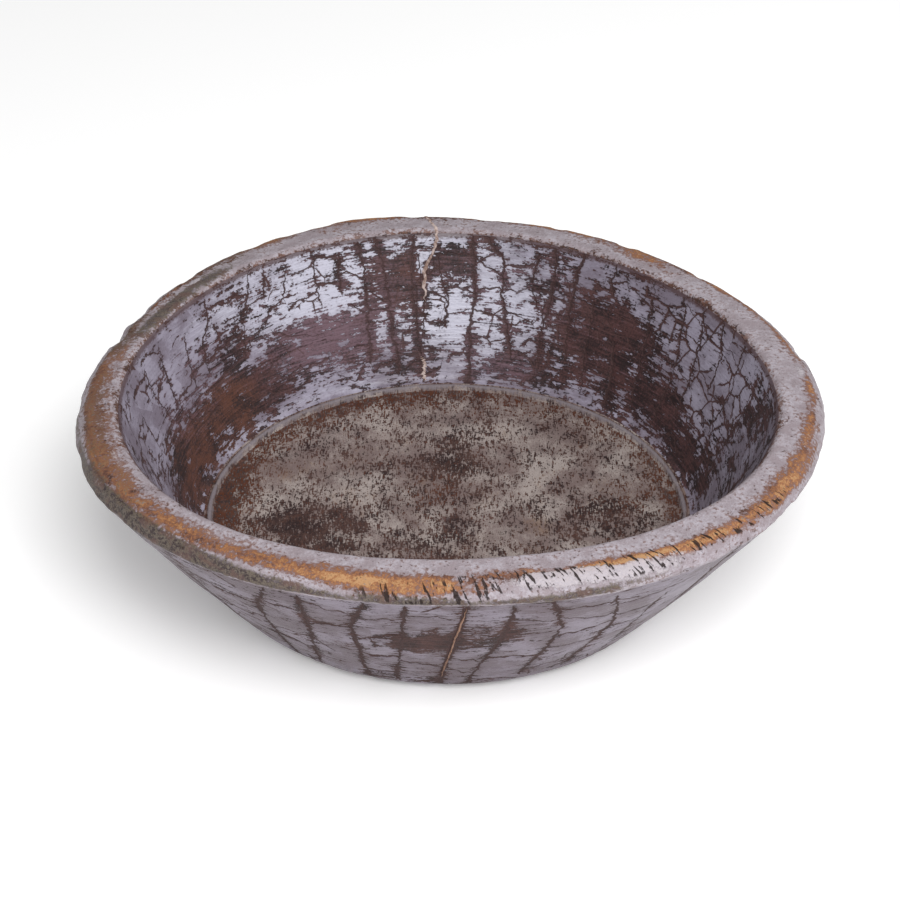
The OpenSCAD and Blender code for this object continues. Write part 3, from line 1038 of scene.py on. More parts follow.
@dataclass(frozen=True)
class WallFinish:
    """Worn grey-lavender paint, broken into plates, over dark scraped wood."""

    name: str
    plate: tuple[float, float, float]
    line: float
    gaps: float
    wear: float
    stroke: tuple[float, float, float] = (0.014, 0.014, 0.001)
    flake: tuple[float, float, float] = (0.0065, 0.0065, 0.0026)
    streaks: float = 0.5
    flakes: float = 0.72
    blotches: float = 0.5
    specks: float = 0.44
    paint: tuple[float, ...] = rgb(150, 144, 160)
    dull_paint: tuple[float, ...] = rgb(120, 111, 124)
    # Lighter paint: painted light and sheen where the light falls on the back wall, and real white paint
    lighter_paint_and_sheen_colour: tuple[float, ...] = rgb(192, 191, 206)
    film: tuple[float, ...] = rgb(108, 84, 94)
    dark: tuple[float, ...] = rgb(30, 14, 16)
    crack: tuple[float, ...] = rgb(72, 46, 44)
    warm: tuple[float, ...] = rgb(78, 48, 47)
    rusty: tuple[float, ...] = rgb(86, 50, 37)
    crack_ink: float = 0.62
    sheen: float = 0.5
    wood_roughness: float = 0.7
    paint_roughness: float = 0.42

    def material(self, groups: WoodGroups) -> bpy.types.Material:
        """Builds the finish.

        Args:
            groups: The shared node groups.

        Returns:
            The material.
        """
        b, shader, made = start_material(self.name)
        place = b.add("ShaderNodeTexCoord").outputs["Object"]
        sheet = b.add("ShaderNodeUVMap", uv_map="unrolled").outputs["UV"]
        gaps = b.total(self.gaps, b.sum("MULTIPLY", b.attribute(Tone.CHECKS.value), -0.5))
        plates = b.group(
            groups.plates, Sheet=sheet, Place=place, Plate=self.plate, Line=self.line, Gaps=gaps
        )
        split = b.group(
            groups.split, Place=place, Distance=b.attribute("split"), Half=b.attribute("split_half")
        )
        rung = b.group(
            groups.split, Place=place, Distance=b.attribute("rung"), Half=b.attribute("rung_half")
        )
        crack = b.sum(
            "MAXIMUM", plates.outputs["Crack"],
            b.sum("MAXIMUM", split.outputs["Crack"], rung.outputs["Crack"]),
        )
        near = b.sum("MAXIMUM", b.sum("MULTIPLY", plates.outputs["Near"], 0.85), b.attribute("near"))
        wear = b.total(b.attribute(Tone.WEAR.value), self.wear, b.swing(plates.outputs["Tint"], 0.12))
        coat = b.group(
            groups.coat, Place=place, Wear=wear, Near=near, Stroke=self.stroke, Flake=self.flake,
            Streaks=self.streaks, Flakes=self.flakes, Blotches=self.blotches, Specks=self.specks,
            Edge=0.06,
        )
        grime = b.attribute(Tone.GRIME.value)
        timber = b.group(
            groups.timber, Place=place, Fibre=(0.018, 0.018, 0.0011), Dark=self.dark,
            Warm=b.mix(b.between(grime, 0.1, 0.8), self.warm, self.rusty),
            Warmth=b.total(b.sum("MULTIPLY", grime, 0.2), 0.42),
        )
        mist = b.stir(
            b.attribute(Tone.PALE.value), (timber.outputs["Height"], 0.6), (coat.outputs["Stroke"], 0.5),
            (coat.outputs["Fleck"], 0.6),
        )
        wood = b.mix(b.between(mist, 0.1, 1.1, (0.0, 0.95)), timber.outputs["Color"], self.film)
        cloud = groups.cloud(b, place, (0.03, 0.03, 0.02), 4.0, 1.0)
        tint = b.stir(cloud, (plates.outputs["Tint"], 0.5), (coat.outputs["Fleck"], 0.4))
        paint = b.mix(b.between(tint, 0.1, 0.9), self.dull_paint, self.paint)
        # Lighter paint from the patches: painted light and sheen on the back wall, and real white paint near
        # the floor
        bright = b.stir(b.attribute(Tone.BRIGHT.value), (coat.outputs["Stroke"], 0.5), (cloud, 0.3))
        paint = b.mix(b.between(bright, 0.12, 1.0), paint, self.lighter_paint_and_sheen_colour)
        paint = b.mix(b.sum("MULTIPLY", coat.outputs["Thin"], 0.5), paint, b.mix(0.5, wood, paint))
        left = b.sum(
            "MULTIPLY", coat.outputs["Coat"], b.sum("SUBTRACT", 1.0, b.sum("MULTIPLY", crack, 0.85))
        )
        colour = b.mix(left, wood, paint)
        colour = b.mix(b.sum("MULTIPLY", crack, self.crack_ink), colour, self.crack)
        core = b.sum("MAXIMUM", split.outputs["Core"], b.sum("MULTIPLY", rung.outputs["Core"], 0.5))
        colour = b.mix(b.sum("MULTIPLY", core, 0.3), colour, self.dark)
        lip = b.stir(b.attribute("mouth_wear"), (coat.outputs["Fleck"], 0.5))
        colour = b.mix(b.between(lip, 0.3, 0.85, (0.0, 0.8)), colour, self.crack)
        b.put(shader.inputs["Base Color"], colour)
        b.put(
            shader.inputs["Roughness"],
            b.between(left, 0.0, 1.0, (self.wood_roughness, self.paint_roughness)),
        )
        shader.inputs["Specular IOR Level"].default_value = self.sheen
        height = b.weigh(
            (left, 0.0002), (crack, -0.00015), (core, -0.0003), (timber.outputs["Height"], 0.0001),
            (coat.outputs["Stroke"], 0.0001), (coat.outputs["Fleck"], 0.00006),
        )
        b.put(shader.inputs["Normal"], b.bump(height))
        return made


@dataclass(frozen=True)
class RimFinish:
    """Rubbed rim: dull paint on the flat, brown and ochre wood on the ridge, pale flakes and short checks."""

    name: str = "worn_rim"
    paint: tuple[float, ...] = rgb(172, 165, 173)
    dull_paint: tuple[float, ...] = rgb(144, 132, 137)
    pale: tuple[float, ...] = rgb(184, 175, 178)
    brown: tuple[float, ...] = rgb(92, 64, 54)
    dark: tuple[float, ...] = rgb(40, 26, 24)
    ochre: tuple[float, ...] = rgb(148, 100, 64)
    straw: tuple[float, ...] = rgb(178, 138, 98)
    rust: tuple[float, ...] = rgb(108, 72, 58)
    moss: tuple[float, ...] = rgb(98, 88, 76)
    gap: tuple[float, ...] = rgb(30, 14, 10)
    sheen: float = 0.3
    wood_roughness: float = 0.7
    paint_roughness: float = 0.54
    check_lean: float = 0.3
    check_size: tuple[float, float, float] = (0.0019, 0.0110, 1.0)

    def material(self, groups: WoodGroups) -> bpy.types.Material:
        """Builds the finish from the shared groups."""
        b, shader, made = start_material(self.name)
        place = b.add("ShaderNodeTexCoord").outputs["Object"]
        sheet = b.add("ShaderNodeUVMap", uv_map="unrolled").outputs["UV"]
        ridge = b.attribute("ridge_wear")
        lip = b.attribute("mouth_wear")
        fine = groups.cloud(b, place, (0.0022, 0.0022, 0.0018), 5.0, 6.0)
        broad = groups.cloud(b, place, (0.011, 0.011, 0.006), 5.0, 9.0)
        grit = groups.cloud(b, place, (0.0009, 0.0009, 0.0009), 3.0, 27.0)
        wear = b.total(
            b.attribute(Tone.WEAR.value), 0.2, b.sum("MULTIPLY", ridge, 0.34),
            b.sum("MULTIPLY", lip, 0.34),
        )
        coat = b.group(
            groups.coat, Place=place, Wear=wear, Stroke=(0.016, 0.016, 0.0018),
            Flake=(0.005, 0.005, 0.003), Streaks=0.2, Flakes=0.36, Blotches=0.42, Specks=0.4, Edge=0.12,
        )
        timber = b.group(
            groups.timber, Place=place, Fibre=(0.012, 0.012, 0.0013), Dark=self.dark, Warm=self.brown,
            Warmth=0.66,
        )
        glow = b.total(
            b.attribute(Tone.OCHRE.value), b.swing(broad, 0.8), b.swing(fine, 1.0),
            b.sum("MULTIPLY", ridge, 0.4),
        )
        wood = b.mix(b.between(glow, 0.1, 0.6), timber.outputs["Color"], self.rust)
        grain = b.stir(glow, (grit, 0.7))
        wood = b.mix(b.between(grain, 0.45, 1.15), wood, self.ochre)
        wood = b.mix(b.between(grain, 1.0, 1.5, (0.0, 0.8)), wood, self.straw)
        paint = b.mix(b.between(b.stir(broad, (grit, 0.5)), 0.1, 0.9), self.dull_paint, self.paint)
        stain = b.total(glow, b.swing(grit, 0.4), b.sum("MULTIPLY", lip, 0.42))
        paint = b.mix(b.between(stain, 0.05, 0.7, (0.0, 0.85)), paint, self.rust)
        left = b.sum("MULTIPLY", coat.outputs["Coat"], b.between(stain, 1.0, 0.5))
        colour = b.mix(left, wood, paint)
        grime = b.stir(b.attribute(Tone.GRIME.value), (broad, 0.6), (fine, 0.7), (grit, 0.4))
        lichen = b.mix(b.between(b.stir(fine, (grit, 0.8)), 0.2, 0.8), self.dark, self.moss)
        lichen = b.mix(b.between(broad, 0.4, 0.9, (0.0, 0.7)), lichen, self.brown)
        colour = b.mix(b.between(grime, 0.25, 0.9, (0.0, 0.92)), colour, lichen)
        chalk = b.stir(b.attribute(Tone.PALE.value), (broad, 0.8), (fine, 0.7), (grit, 0.3))
        chalky = b.between(chalk, 0.35, 0.85)
        colour = b.mix(b.sum("MULTIPLY", chalky, 0.9), colour, b.mix(grit, self.paint, self.pale))
        lean = b.add("ShaderNodeMapping", vector_type="TEXTURE")
        b.put(lean.inputs["Vector"], sheet)
        lean.inputs["Rotation"].default_value = (0.0, 0.0, self.check_lean)
        lean.inputs["Scale"].default_value = self.check_size
        dash = b.add("ShaderNodeTexNoise", noise_dimensions="2D")
        b.put(dash.inputs["Vector"], lean.outputs["Vector"])
        dash.inputs["Scale"].default_value = 1.0
        dash.inputs["Detail"].default_value = 2.0
        torn = b.stir(dash.outputs["Fac"], (fine, 0.16), (broad, 0.1))
        cut = b.sum(
            "MULTIPLY", b.between(torn, 0.585, 0.665), b.between(b.attribute(Tone.CHECKS.value), 0.1, 0.5)
        )
        colour = b.mix(b.sum("MULTIPLY", cut, 0.95), colour, self.gap)
        pit = b.between(b.stir(fine, (grit, 0.5)), 0.86, 1.05)
        colour = b.mix(b.sum("MULTIPLY", pit, 0.5), colour, self.dark)
        b.put(shader.inputs["Base Color"], colour)
        b.put(
            shader.inputs["Roughness"],
            b.between(left, 0.0, 1.0, (self.wood_roughness, self.paint_roughness)),
        )
        shader.inputs["Specular IOR Level"].default_value = self.sheen
        height = b.weigh(
            (left, 0.00015), (cut, -0.0006), (fine, 0.0003), (broad, 0.0004), (chalky, 0.0002),
            (grit, 0.0001), (pit, -0.0003),
        )
        b.put(shader.inputs["Normal"], b.bump(height))
        return made


@dataclass(frozen=True)
class FloorFinish:
    """Rubbed taupe floor with dark mottling, short strokes from front to back, dirt inside the bead, and pale
    paint on the bead that is lightest along its top as a painted highlight.
    """

    name: str = "rubbed_floor"
    light: tuple[float, ...] = rgb(167, 156, 151)
    middle: tuple[float, ...] = rgb(118, 102, 99)
    dark: tuple[float, ...] = rgb(40, 28, 28)
    brown: tuple[float, ...] = rgb(78, 56, 50)
    tan: tuple[float, ...] = rgb(122, 94, 72)
    dirt: tuple[float, ...] = rgb(84, 46, 28)
    # Pale paint of the bead, laid on strongest along the bead's top as a painted highlight
    bead: tuple[float, ...] = rgb(122, 114, 119)
    sheen: float = 0.25
    wood_roughness: float = 0.66
    film_roughness: float = 0.56

    def material(self, groups: WoodGroups) -> bpy.types.Material:
        """Builds the finish from the shared groups."""
        b, shader, made = start_material(self.name)
        place = b.add("ShaderNodeTexCoord").outputs["Object"]
        timber = b.group(
            groups.timber, Place=place, Fibre=(0.0009, 0.006, 0.01), Dark=self.dark, Warm=self.brown,
            Warmth=0.5,
        )
        coat = b.group(
            groups.coat, Place=place, Wear=b.total(b.attribute(Tone.WEAR.value), 0.44),
            Stroke=(0.0008, 0.0045, 0.01), Flake=(0.0022, 0.007, 0.01), Streaks=0.9, Flakes=0.6,
            Blotches=0.6, Specks=0.8, Edge=0.22,
        )
        cloud = groups.cloud(b, place, (0.03, 0.036, 0.03), 5.0, 15.0)
        warm = groups.cloud(b, place, (0.02, 0.03, 0.03), 5.0, 19.0)
        worn = b.stir(cloud, (coat.outputs["Stroke"], 0.5), (coat.outputs["Fleck"], 0.4))
        film = b.mix(b.between(worn, 0.1, 0.9), self.middle, self.light)
        tanned = b.stir(warm, (coat.outputs["Stroke"], 0.6), (coat.outputs["Fleck"], 0.4))
        film = b.mix(b.between(tanned, 0.6, 1.1, (0.0, 0.6)), film, self.tan)
        colour = b.mix(b.sum("MULTIPLY", coat.outputs["Coat"], 0.9), timber.outputs["Color"], film)
        ring = groups.cloud(b, place, (0.006, 0.009, 0.006), 5.0, 21.0)
        streak = b.stir(b.swing(coat.outputs["Stroke"], 1.0), (coat.outputs["Fleck"], 0.9))
        soil = b.total(b.attribute(Tone.GRIME.value), b.swing(ring, 1.0), streak)
        dirt = b.mix(b.between(streak, -0.4, 0.4), self.dark, self.dirt)
        colour = b.mix(b.between(soil, 0.25, 1.05, (0.0, 0.92)), colour, dirt)
        # Pale bead paint, strongest along the bead's top as a painted highlight
        ridge = b.attribute("bead")
        chalk = b.stir(ridge, (ring, 0.9), (coat.outputs["Fleck"], 0.6))
        colour = b.mix(b.between(chalk, 0.3, 1.0, (0.0, 0.85)), colour, self.bead)
        line = b.stir(b.attribute("bead_line"), (ring, 0.8))
        colour = b.mix(b.between(line, 0.5, 1.2, (0.0, 0.6)), colour, self.dirt)
        b.put(shader.inputs["Base Color"], colour)
        roughness = (self.wood_roughness, self.film_roughness)
        b.put(shader.inputs["Roughness"], b.between(coat.outputs["Coat"], 0.0, 1.0, roughness))
        shader.inputs["Specular IOR Level"].default_value = self.sheen
        height = b.weigh(
            (coat.outputs["Coat"], 0.0001), (coat.outputs["Stroke"], 0.00012),
            (timber.outputs["Height"], 0.0001), (ring, 0.0002),
        )
        b.put(shader.inputs["Normal"], b.bump(height))
        return made


@dataclass(frozen=True)
class FillerFinish:
    """Dry crack filler, soiled in patches."""

    name: str
    clean: tuple[float, ...]
    soiled: tuple[float, ...]

    def material(self, groups: WoodGroups) -> bpy.types.Material:
        """Builds the finish from the shared groups."""
        b, shader, made = start_material(self.name)
        place = b.add("ShaderNodeTexCoord").outputs["Object"]
        fine = groups.cloud(b, place, (0.002, 0.002, 0.002), 5.0, 31.0)
        slow = groups.cloud(b, place, (0.007, 0.007, 0.007), 3.0, 33.0)
        dirty = b.between(b.stir(slow, (fine, 0.8)), 0.35, 0.9)
        b.put(shader.inputs["Base Color"], b.mix(dirty, self.clean, self.soiled))
        b.put(shader.inputs["Roughness"], b.between(fine, 0.0, 1.0, (0.7, 0.9)))
        b.put(shader.inputs["Normal"], b.bump(b.sum("MULTIPLY", fine, 0.0003)))
        return made


# ---------------------------------------------------------------------------
# Pieces
# ---------------------------------------------------------------------------


def show_mesh(name: str, shape: bmesh.types.BMesh, materials: list[bpy.types.Material]) -> bpy.types.Object:
    """Turns a bmesh into a shown object at the origin.

    Args:
        name: The piece's name.
        shape: The mesh, which is freed.
        materials: Its materials, in slot order.

    Returns:
        The object.
    """
    mesh = bpy.data.meshes.new(name)
    shape.to_mesh(mesh)
    shape.free()
    for made in materials:
        mesh.materials.append(made)
    piece = bpy.data.objects.new(name, mesh)
    bpy.context.collection.objects.link(piece)
    return piece


# Layers of hand work: (depth in millimetres, how fine it is in waves a metre)
Layers = tuple[tuple[float, float], ...]


def worked(point: Vector, layers: Layers) -> float:
    """Height of hand work at a point, in metres."""
    return sum(depth * noise.noise(point * fine) for depth, fine in layers) * MM


@dataclass
class BowlBody:
    """The carved block: a spun outline, cut by hand, with its cracks written on the mesh and sunk into it."""

    shape: BowlShape
    columns: int = 484
    seam: float = math.radians(295)
    unroll_r: float = 160 * MM
    underside_step: float = 13 * MM
    rung_gap: float = 0.2
    inner_rung: float = 0.55 * MM
    outer_rung: float = 0.62 * MM
    crack_sink: float = 0.45 * MM
    ridge_worn: float = 3.4 * MM
    mouth_worn: float = 2.6 * MM
    # Half width of the pale paint and painted highlight along the bead's top
    bead_paint_and_highlight_half: float = 1.5 * MM
    dirt_narrow: float = 5 * MM
    dirt_wider: float = 11 * MM
    foot_fade: float = 12 * MM
    wall_marks: Layers = ((0.55, 38), (0.16, 160))
    inner_marks: Layers = ((0.3, 34),)
    band_marks: Layers = ((0.5, 40), (0.35, 150), (0.2, 420))
    flat_marks: Layers = ((0.35, 45), (0.12, 230))
    dish_marks: Layers = ((0.25, 40),)
    bead_marks: Layers = ((0.1, 90),)
    spacing: dict[Zone, float] = field(
        default_factory=lambda: {
            Zone.OUTER: 2.3 * MM, Zone.RIM: 1.3 * MM, Zone.INNER: 1.9 * MM, Zone.FLOOR: 4.2 * MM
        }
    )

    def __post_init__(self) -> None:
        """Sorts the patches by zone."""
        self.patches = {zone: [patch for patch in PATCHES if patch.zone is zone] for zone in Zone}

    def net_cracks(self) -> dict[Zone, CrackNet]:
        """The cracks of the two walls. The outline's runs are known by now."""
        shape = self.shape
        inner = (*INNER_CRACKS, *cracks_between(196, 352, 7.0, 0.9 * MM, 3))
        outer = (*OUTER_CRACKS, *cracks_between(310, 590, 8.6, 1.2 * MM, 8))
        return {
            Zone.INNER: CrackNet(
                inner, shape.run_floor - shape.run_mouth, self.rung_gap, self.inner_rung, 21
            ),
            Zone.OUTER: CrackNet(
                outer, shape.run_band - shape.run_foot, self.rung_gap, self.outer_rung, 22
            ),
        }

    def outline(self) -> bmesh.types.BMesh:
        """Draws the outline as a wire with rounded corners and even steps."""
        wire = bmesh.new()
        before = None
        rounds = []
        for r, z, cut, steps in self.shape.corners():
            corner = wire.verts.new((r, 0.0, z))
            if before is not None:
                wire.edges.new((before, corner))
            if cut > 0:
                rounds.append((corner, cut, steps))
            before = corner
        for corner, cut, steps in rounds:
            bmesh.ops.bevel(
                wire, geom=[corner], offset=cut, offset_type="OFFSET", segments=steps, profile=0.5,
                affect="VERTICES", material=-1,
            )
        for edge in list(wire.edges):
            step = self.step_for(edge)
            cuts = int(edge.calc_length() / step)
            if cuts > 0:
                bmesh.ops.subdivide_edges(wire, edges=[edge], cuts=cuts)
        return wire

    def step_for(self, edge: bmesh.types.BMEdge) -> float:
        """Longest step on an edge of the outline, from where it lies."""
        middle = (edge.verts[0].co + edge.verts[1].co) / 2
        s = self.shape
        if middle.z < 0.5 * MM:
            return self.underside_step
        if middle.z < s.edge_z + 0.2 * MM and middle.x < s.bead_r - s.bead_w:
            return self.spacing[Zone.FLOOR]
        if middle.z > s.band_z - 0.5 * MM and middle.x > s.mouth_r:
            return self.spacing[Zone.RIM]
        if middle.x > s.mouth_r or middle.z < s.floor_z:
            return self.spacing[Zone.OUTER]
        return self.spacing[Zone.INNER]

    def ordered(self, wire: bmesh.types.BMesh) -> list[bmesh.types.BMVert]:
        """The wire's points from the underside's centre to the floor's centre."""
        ends = [v for v in wire.verts if len(v.link_edges) == 1]
        here = min(ends, key=lambda v: v.co.z)
        order, last = [here], None
        while True:
            onward = [e.other_vert(here) for e in here.link_edges if e.other_vert(here) is not last]
            if not onward:
                return order
            last, here = here, onward[0]
            order.append(here)

    def zone_share(self, s: Station) -> float:
        """Share of a station's zone: 0 at a wall's upper edge or the band's foot, 1 at its other end."""
        shape = self.shape
        spans = {
            Zone.OUTER: (shape.run_band, shape.run_foot), Zone.RIM: (shape.run_band, shape.run_mouth),
            Zone.INNER: (shape.run_mouth, shape.run_floor), Zone.FLOOR: (shape.run_floor, shape.runs[-1]),
        }
        start, end = spans[s.zone]
        return (s.run - start) / (end - start)

    def relief(self, s: Station, a: float, point: Vector) -> float:
        """How far hand work and wear move the surface along its normal.

        Args:
            s: The station.
            a: The angle, in radians.
            point: The point before the move.

        Returns:
            The move, outwards from the wood, in metres.
        """
        shape = self.shape
        if s.zone is Zone.OUTER:
            return worked(point, self.wall_marks) * smooth_step(0.0, self.foot_fade, s.z)
        if s.zone is Zone.RIM:
            across = self.zone_share(s)
            band = 1 - smooth_step(0.3, 0.62, across)
            bite = 0.0
            for chip in CHIPS:
                off = turn_between(a, math.radians(chip.angle)) / math.radians(chip.half)
                if abs(off) < CHIP_END:
                    bite += chip.depth * math.exp(-off * off * off * off)
            marks = worked(point, self.band_marks) * band + worked(point, self.flat_marks) * (1 - band)
            return marks - bite * band
        if s.zone is Zone.INNER:
            share = self.zone_share(s)
            fade = smooth_step(0.0, 0.1, share) * (1 - smooth_step(0.86, 0.98, share))
            scrapes = 0.16 * MM * noise.noise(Vector((point.x * 30, point.y * 30, point.z * 230)))
            return (scrapes + worked(point, self.inner_marks)) * fade
        if point.x ** 2 + point.y ** 2 < (shape.bead_r - shape.bead_w) ** 2:
            return worked(point, self.dish_marks)
        return worked(point, self.bead_marks)

    def patches_at(self, s: Station) -> list[Patch]:
        """The patches that reach a station's level."""
        share = self.zone_share(s)
        return [p for p in self.patches[s.zone] if abs(share - p.share) < PATCH_END * p.reach]

    def tones(self, s: Station, patches: list[Patch], a: float) -> dict[str, float]:
        """Values of the surface attributes at a station and an angle, from the patches that reach it."""
        shape = self.shape
        share = self.zone_share(s)
        out = {tone.value: 0.0 for tone in Tone}
        for patch in patches:
            out[patch.tone.value] += patch.value(a, share)
        out["ridge_wear"] = bell(s.run - shape.run_ridge, self.ridge_worn) if s.zone is Zone.RIM else 0.0
        out["mouth_wear"] = bell(s.run - shape.run_mouth, self.mouth_worn)
        if s.zone is Zone.FLOOR:
            inward = shape.bead_r - shape.bead_w / 2 - s.r
            left_side = 0.5 - 0.5 * math.cos(a)
            if inward > 0:
                reach = self.dirt_narrow + self.dirt_wider * left_side
                out[Tone.GRIME.value] += (0.5 + 0.45 * left_side) * bell(inward, reach)
            # Pale paint on the bead, strongest along its top as a painted highlight
            out["bead"] = 1.1 * bell(s.r - shape.bead_r, self.bead_paint_and_highlight_half)
            out["bead_line"] = 1.0 if s.r > shape.turn_r - 0.3 * MM else 0.0
        else:
            out["bead"] = 0.0
            out["bead_line"] = 0.0
        return out

    def build(self, groups: WoodGroups) -> bpy.types.Object:
        """Spins the outline, cuts it by hand and dresses it.

        Args:
            groups: The shared node groups.

        Returns:
            The piece.
        """
        bm = self.outline()
        row_of = bm.verts.layers.int.new("row")
        order = self.ordered(bm)
        self.shape.finish_stations([(v.co.x, v.co.z) for v in order])
        for i, v in enumerate(order):
            v[row_of] = i
        bmesh.ops.spin(
            bm, geom=bm.verts[:] + bm.edges[:], cent=(0, 0, 0), axis=(0, 0, 1), dvec=(0, 0, 0),
            angle=TURN, space=Matrix.Identity(4), steps=self.columns, use_merge=True,
            use_normal_flip=False, use_duplicate=False,
        )
        bmesh.ops.remove_doubles(bm, verts=bm.verts[:], dist=1e-6)
        self.cut(bm, row_of)
        bmesh.ops.recalc_face_normals(bm, faces=bm.faces[:])
        finishes = (
            # The outer wall's paint colours are darker than the inner wall's, as painted shade on the wall
            # that faces down and away from the light
            WallFinish(
                "outer_paint_with_painted_shade", plate=(0.030, 0.018, 1.0), line=0.025, gaps=0.8, wear=0.2, blotches=0.4,
                streaks=0.6, flakes=0.4, stroke=(0.022, 0.022, 0.0009), paint=rgb(128, 119, 131),
                dull_paint=rgb(96, 83, 91), lighter_paint_and_sheen_colour=rgb(140, 134, 146), film=rgb(92, 70, 68),
                crack=rgb(64, 40, 38), warm=rgb(76, 48, 44), dark=rgb(40, 24, 24), crack_ink=0.85,
                sheen=0.25,
            ),
            RimFinish(),
            WallFinish("inner_paint", plate=(0.015, 0.014, 1.0), line=0.05, gaps=0.9, wear=0.36),
            FloorFinish(),
        )
        return show_mesh("bowl_body_carved", bm, [f.material(groups) for f in finishes])

    def cut(self, bm: bmesh.types.BMesh, row_of: bmesh.types.BMLayerItem) -> None:
        """Moves each point to the hand-cut surface, and writes the attributes and the unrolled map.

        Args:
            bm: The spun mesh.
            row_of: The layer that holds each point's row.
        """
        shape = self.shape
        names = [tone.value for tone in Tone]
        names += [
            "ridge_wear", "mouth_wear", "bead", "bead_line", "split", "split_half", "rung", "rung_half",
            "near",
        ]
        layers = {name: bm.verts.layers.float.new(name) for name in names}
        angle_of = bm.verts.layers.float.new("angle")
        nets = self.net_cracks()
        crack_rows = []
        for s in shape.stations:
            cracked = s.zone in nets and s.z > 0
            crack_rows.append(nets[s.zone].row(self.zone_share(s), s.r) if cracked else None)
        patches = [self.patches_at(s) for s in shape.stations]
        for v in bm.verts:
            s = shape.stations[v[row_of]]
            v[layers["split"]] = v[layers["rung"]] = FAR
            if s.r < 1e-6:
                v[angle_of] = NO_ANGLE
                continue
            angle = math.atan2(v.co.y, v.co.x)
            point = shape.place(s, angle)
            sink = 0.0
            if crack_rows[v[row_of]] is not None:
                hit = nets[s.zone].hit(crack_rows[v[row_of]], self.zone_share(s), angle, s.r)
                for name in ("split", "split_half", "rung", "rung_half", "near"):
                    v[layers[name]] = getattr(hit, name)
                sink = self.crack_sink * hit.near
            v.co = shape.place(s, angle, self.relief(s, angle, point) - sink)
            v.co.z = max(0.0, v.co.z)
            v[angle_of] = angle
            for name, value in self.tones(s, patches[v[row_of]], angle).items():
                v[layers[name]] = value
        sheet = bm.loops.layers.uv.new("unrolled")
        for face in bm.faces:
            rows = [v[row_of] for v in face.verts]
            face.material_index = shape.stations[max(rows)].zone.value
            face.smooth = True
            turns = [(v[angle_of] - self.seam) % TURN for v in face.verts if v[angle_of] > NO_ANGLE]
            wraps = max(turns) - min(turns) > math.pi
            middle = sum(t + (TURN if wraps and t < math.pi else 0.0) for t in turns) / len(turns)
            for loop in face.loops:
                a = loop.vert[angle_of]
                t = middle if a == NO_ANGLE else (a - self.seam) % TURN
                if wraps and a > NO_ANGLE and t < math.pi:
                    t += TURN
                loop[sheet].uv = (t * self.unroll_r, shape.stations[loop.vert[row_of]].run)


@dataclass
class CrackFiller:
    """Filler pressed into a crack: a ragged strip that follows the surface and goes into the wood."""

    name: str
    shape: BowlShape
    crack: FilledCrack
    stretches: tuple[tuple[float, float], ...]
    start_run: str
    end_run: str
    width: float
    seed: float
    deep: float = 3.0 * MM
    proud: float = 0.35 * MM
    edge_drop: float = 0.25 * MM
    crumbs: float = 0.2 * MM
    along: int = 90
    across: int = 8

    def strip(self, bm: bmesh.types.BMesh, first: float, last: float) -> None:
        """Adds the strip between two shares of the wall.

        Args:
            bm: The mesh to add to.
            first: Share at its upper end.
            last: Share at its lower end.
        """
        upper = getattr(self.shape, self.start_run)
        lower = getattr(self.shape, self.end_run)
        grid = bmesh.ops.create_grid(bm, x_segments=self.across, y_segments=self.along, size=1.0)["verts"]
        faces = list({face for v in grid for face in v.link_faces})
        grown = bmesh.ops.extrude_face_region(bm, geom=faces)["geom"]
        inner = {v for v in grown if isinstance(v, bmesh.types.BMVert)}
        for v in [*grid, *inner]:
            across, t = v.co.x, (v.co.y + 1) / 2
            share = first + (last - first) * t
            s = self.shape.station_at(upper + (lower - upper) * share)
            taper = min(1.0, 6 * t + 0.12, 6 * (1 - t) + 0.12)
            rough = 0.75 + 0.7 * noise.noise(Vector((t * 16, self.seed, across * 0.6)))
            shift = 0.5 * noise.noise(Vector((t * 26, self.seed, 5.0))) * self.width
            side = (across * self.width / 2 * taper * rough + shift) / s.r
            crown = self.proud * (1 - across * across) - self.edge_drop * across * across
            crown += self.crumbs * noise.noise(Vector((t * 50, across * 2, self.seed)))
            v.co = self.shape.place(
                s, self.crack.angle(share, s.r) + side, -self.deep if v in inner else crown
            )

    def build(self, finish: FillerFinish, groups: WoodGroups) -> bpy.types.Object:
        """Builds the filler and dresses it.

        Args:
            finish: Its finish.
            groups: The shared node groups.

        Returns:
            The piece.
        """
        bm = bmesh.new()
        for first, last in self.stretches:
            self.strip(bm, first, last)
        bmesh.ops.recalc_face_normals(bm, faces=bm.faces[:])
        for face in bm.faces:
            face.smooth = True
        return show_mesh(self.name, bm, [finish.material(groups)])


# ---------------------------------------------------------------------------
# Studio
# ---------------------------------------------------------------------------


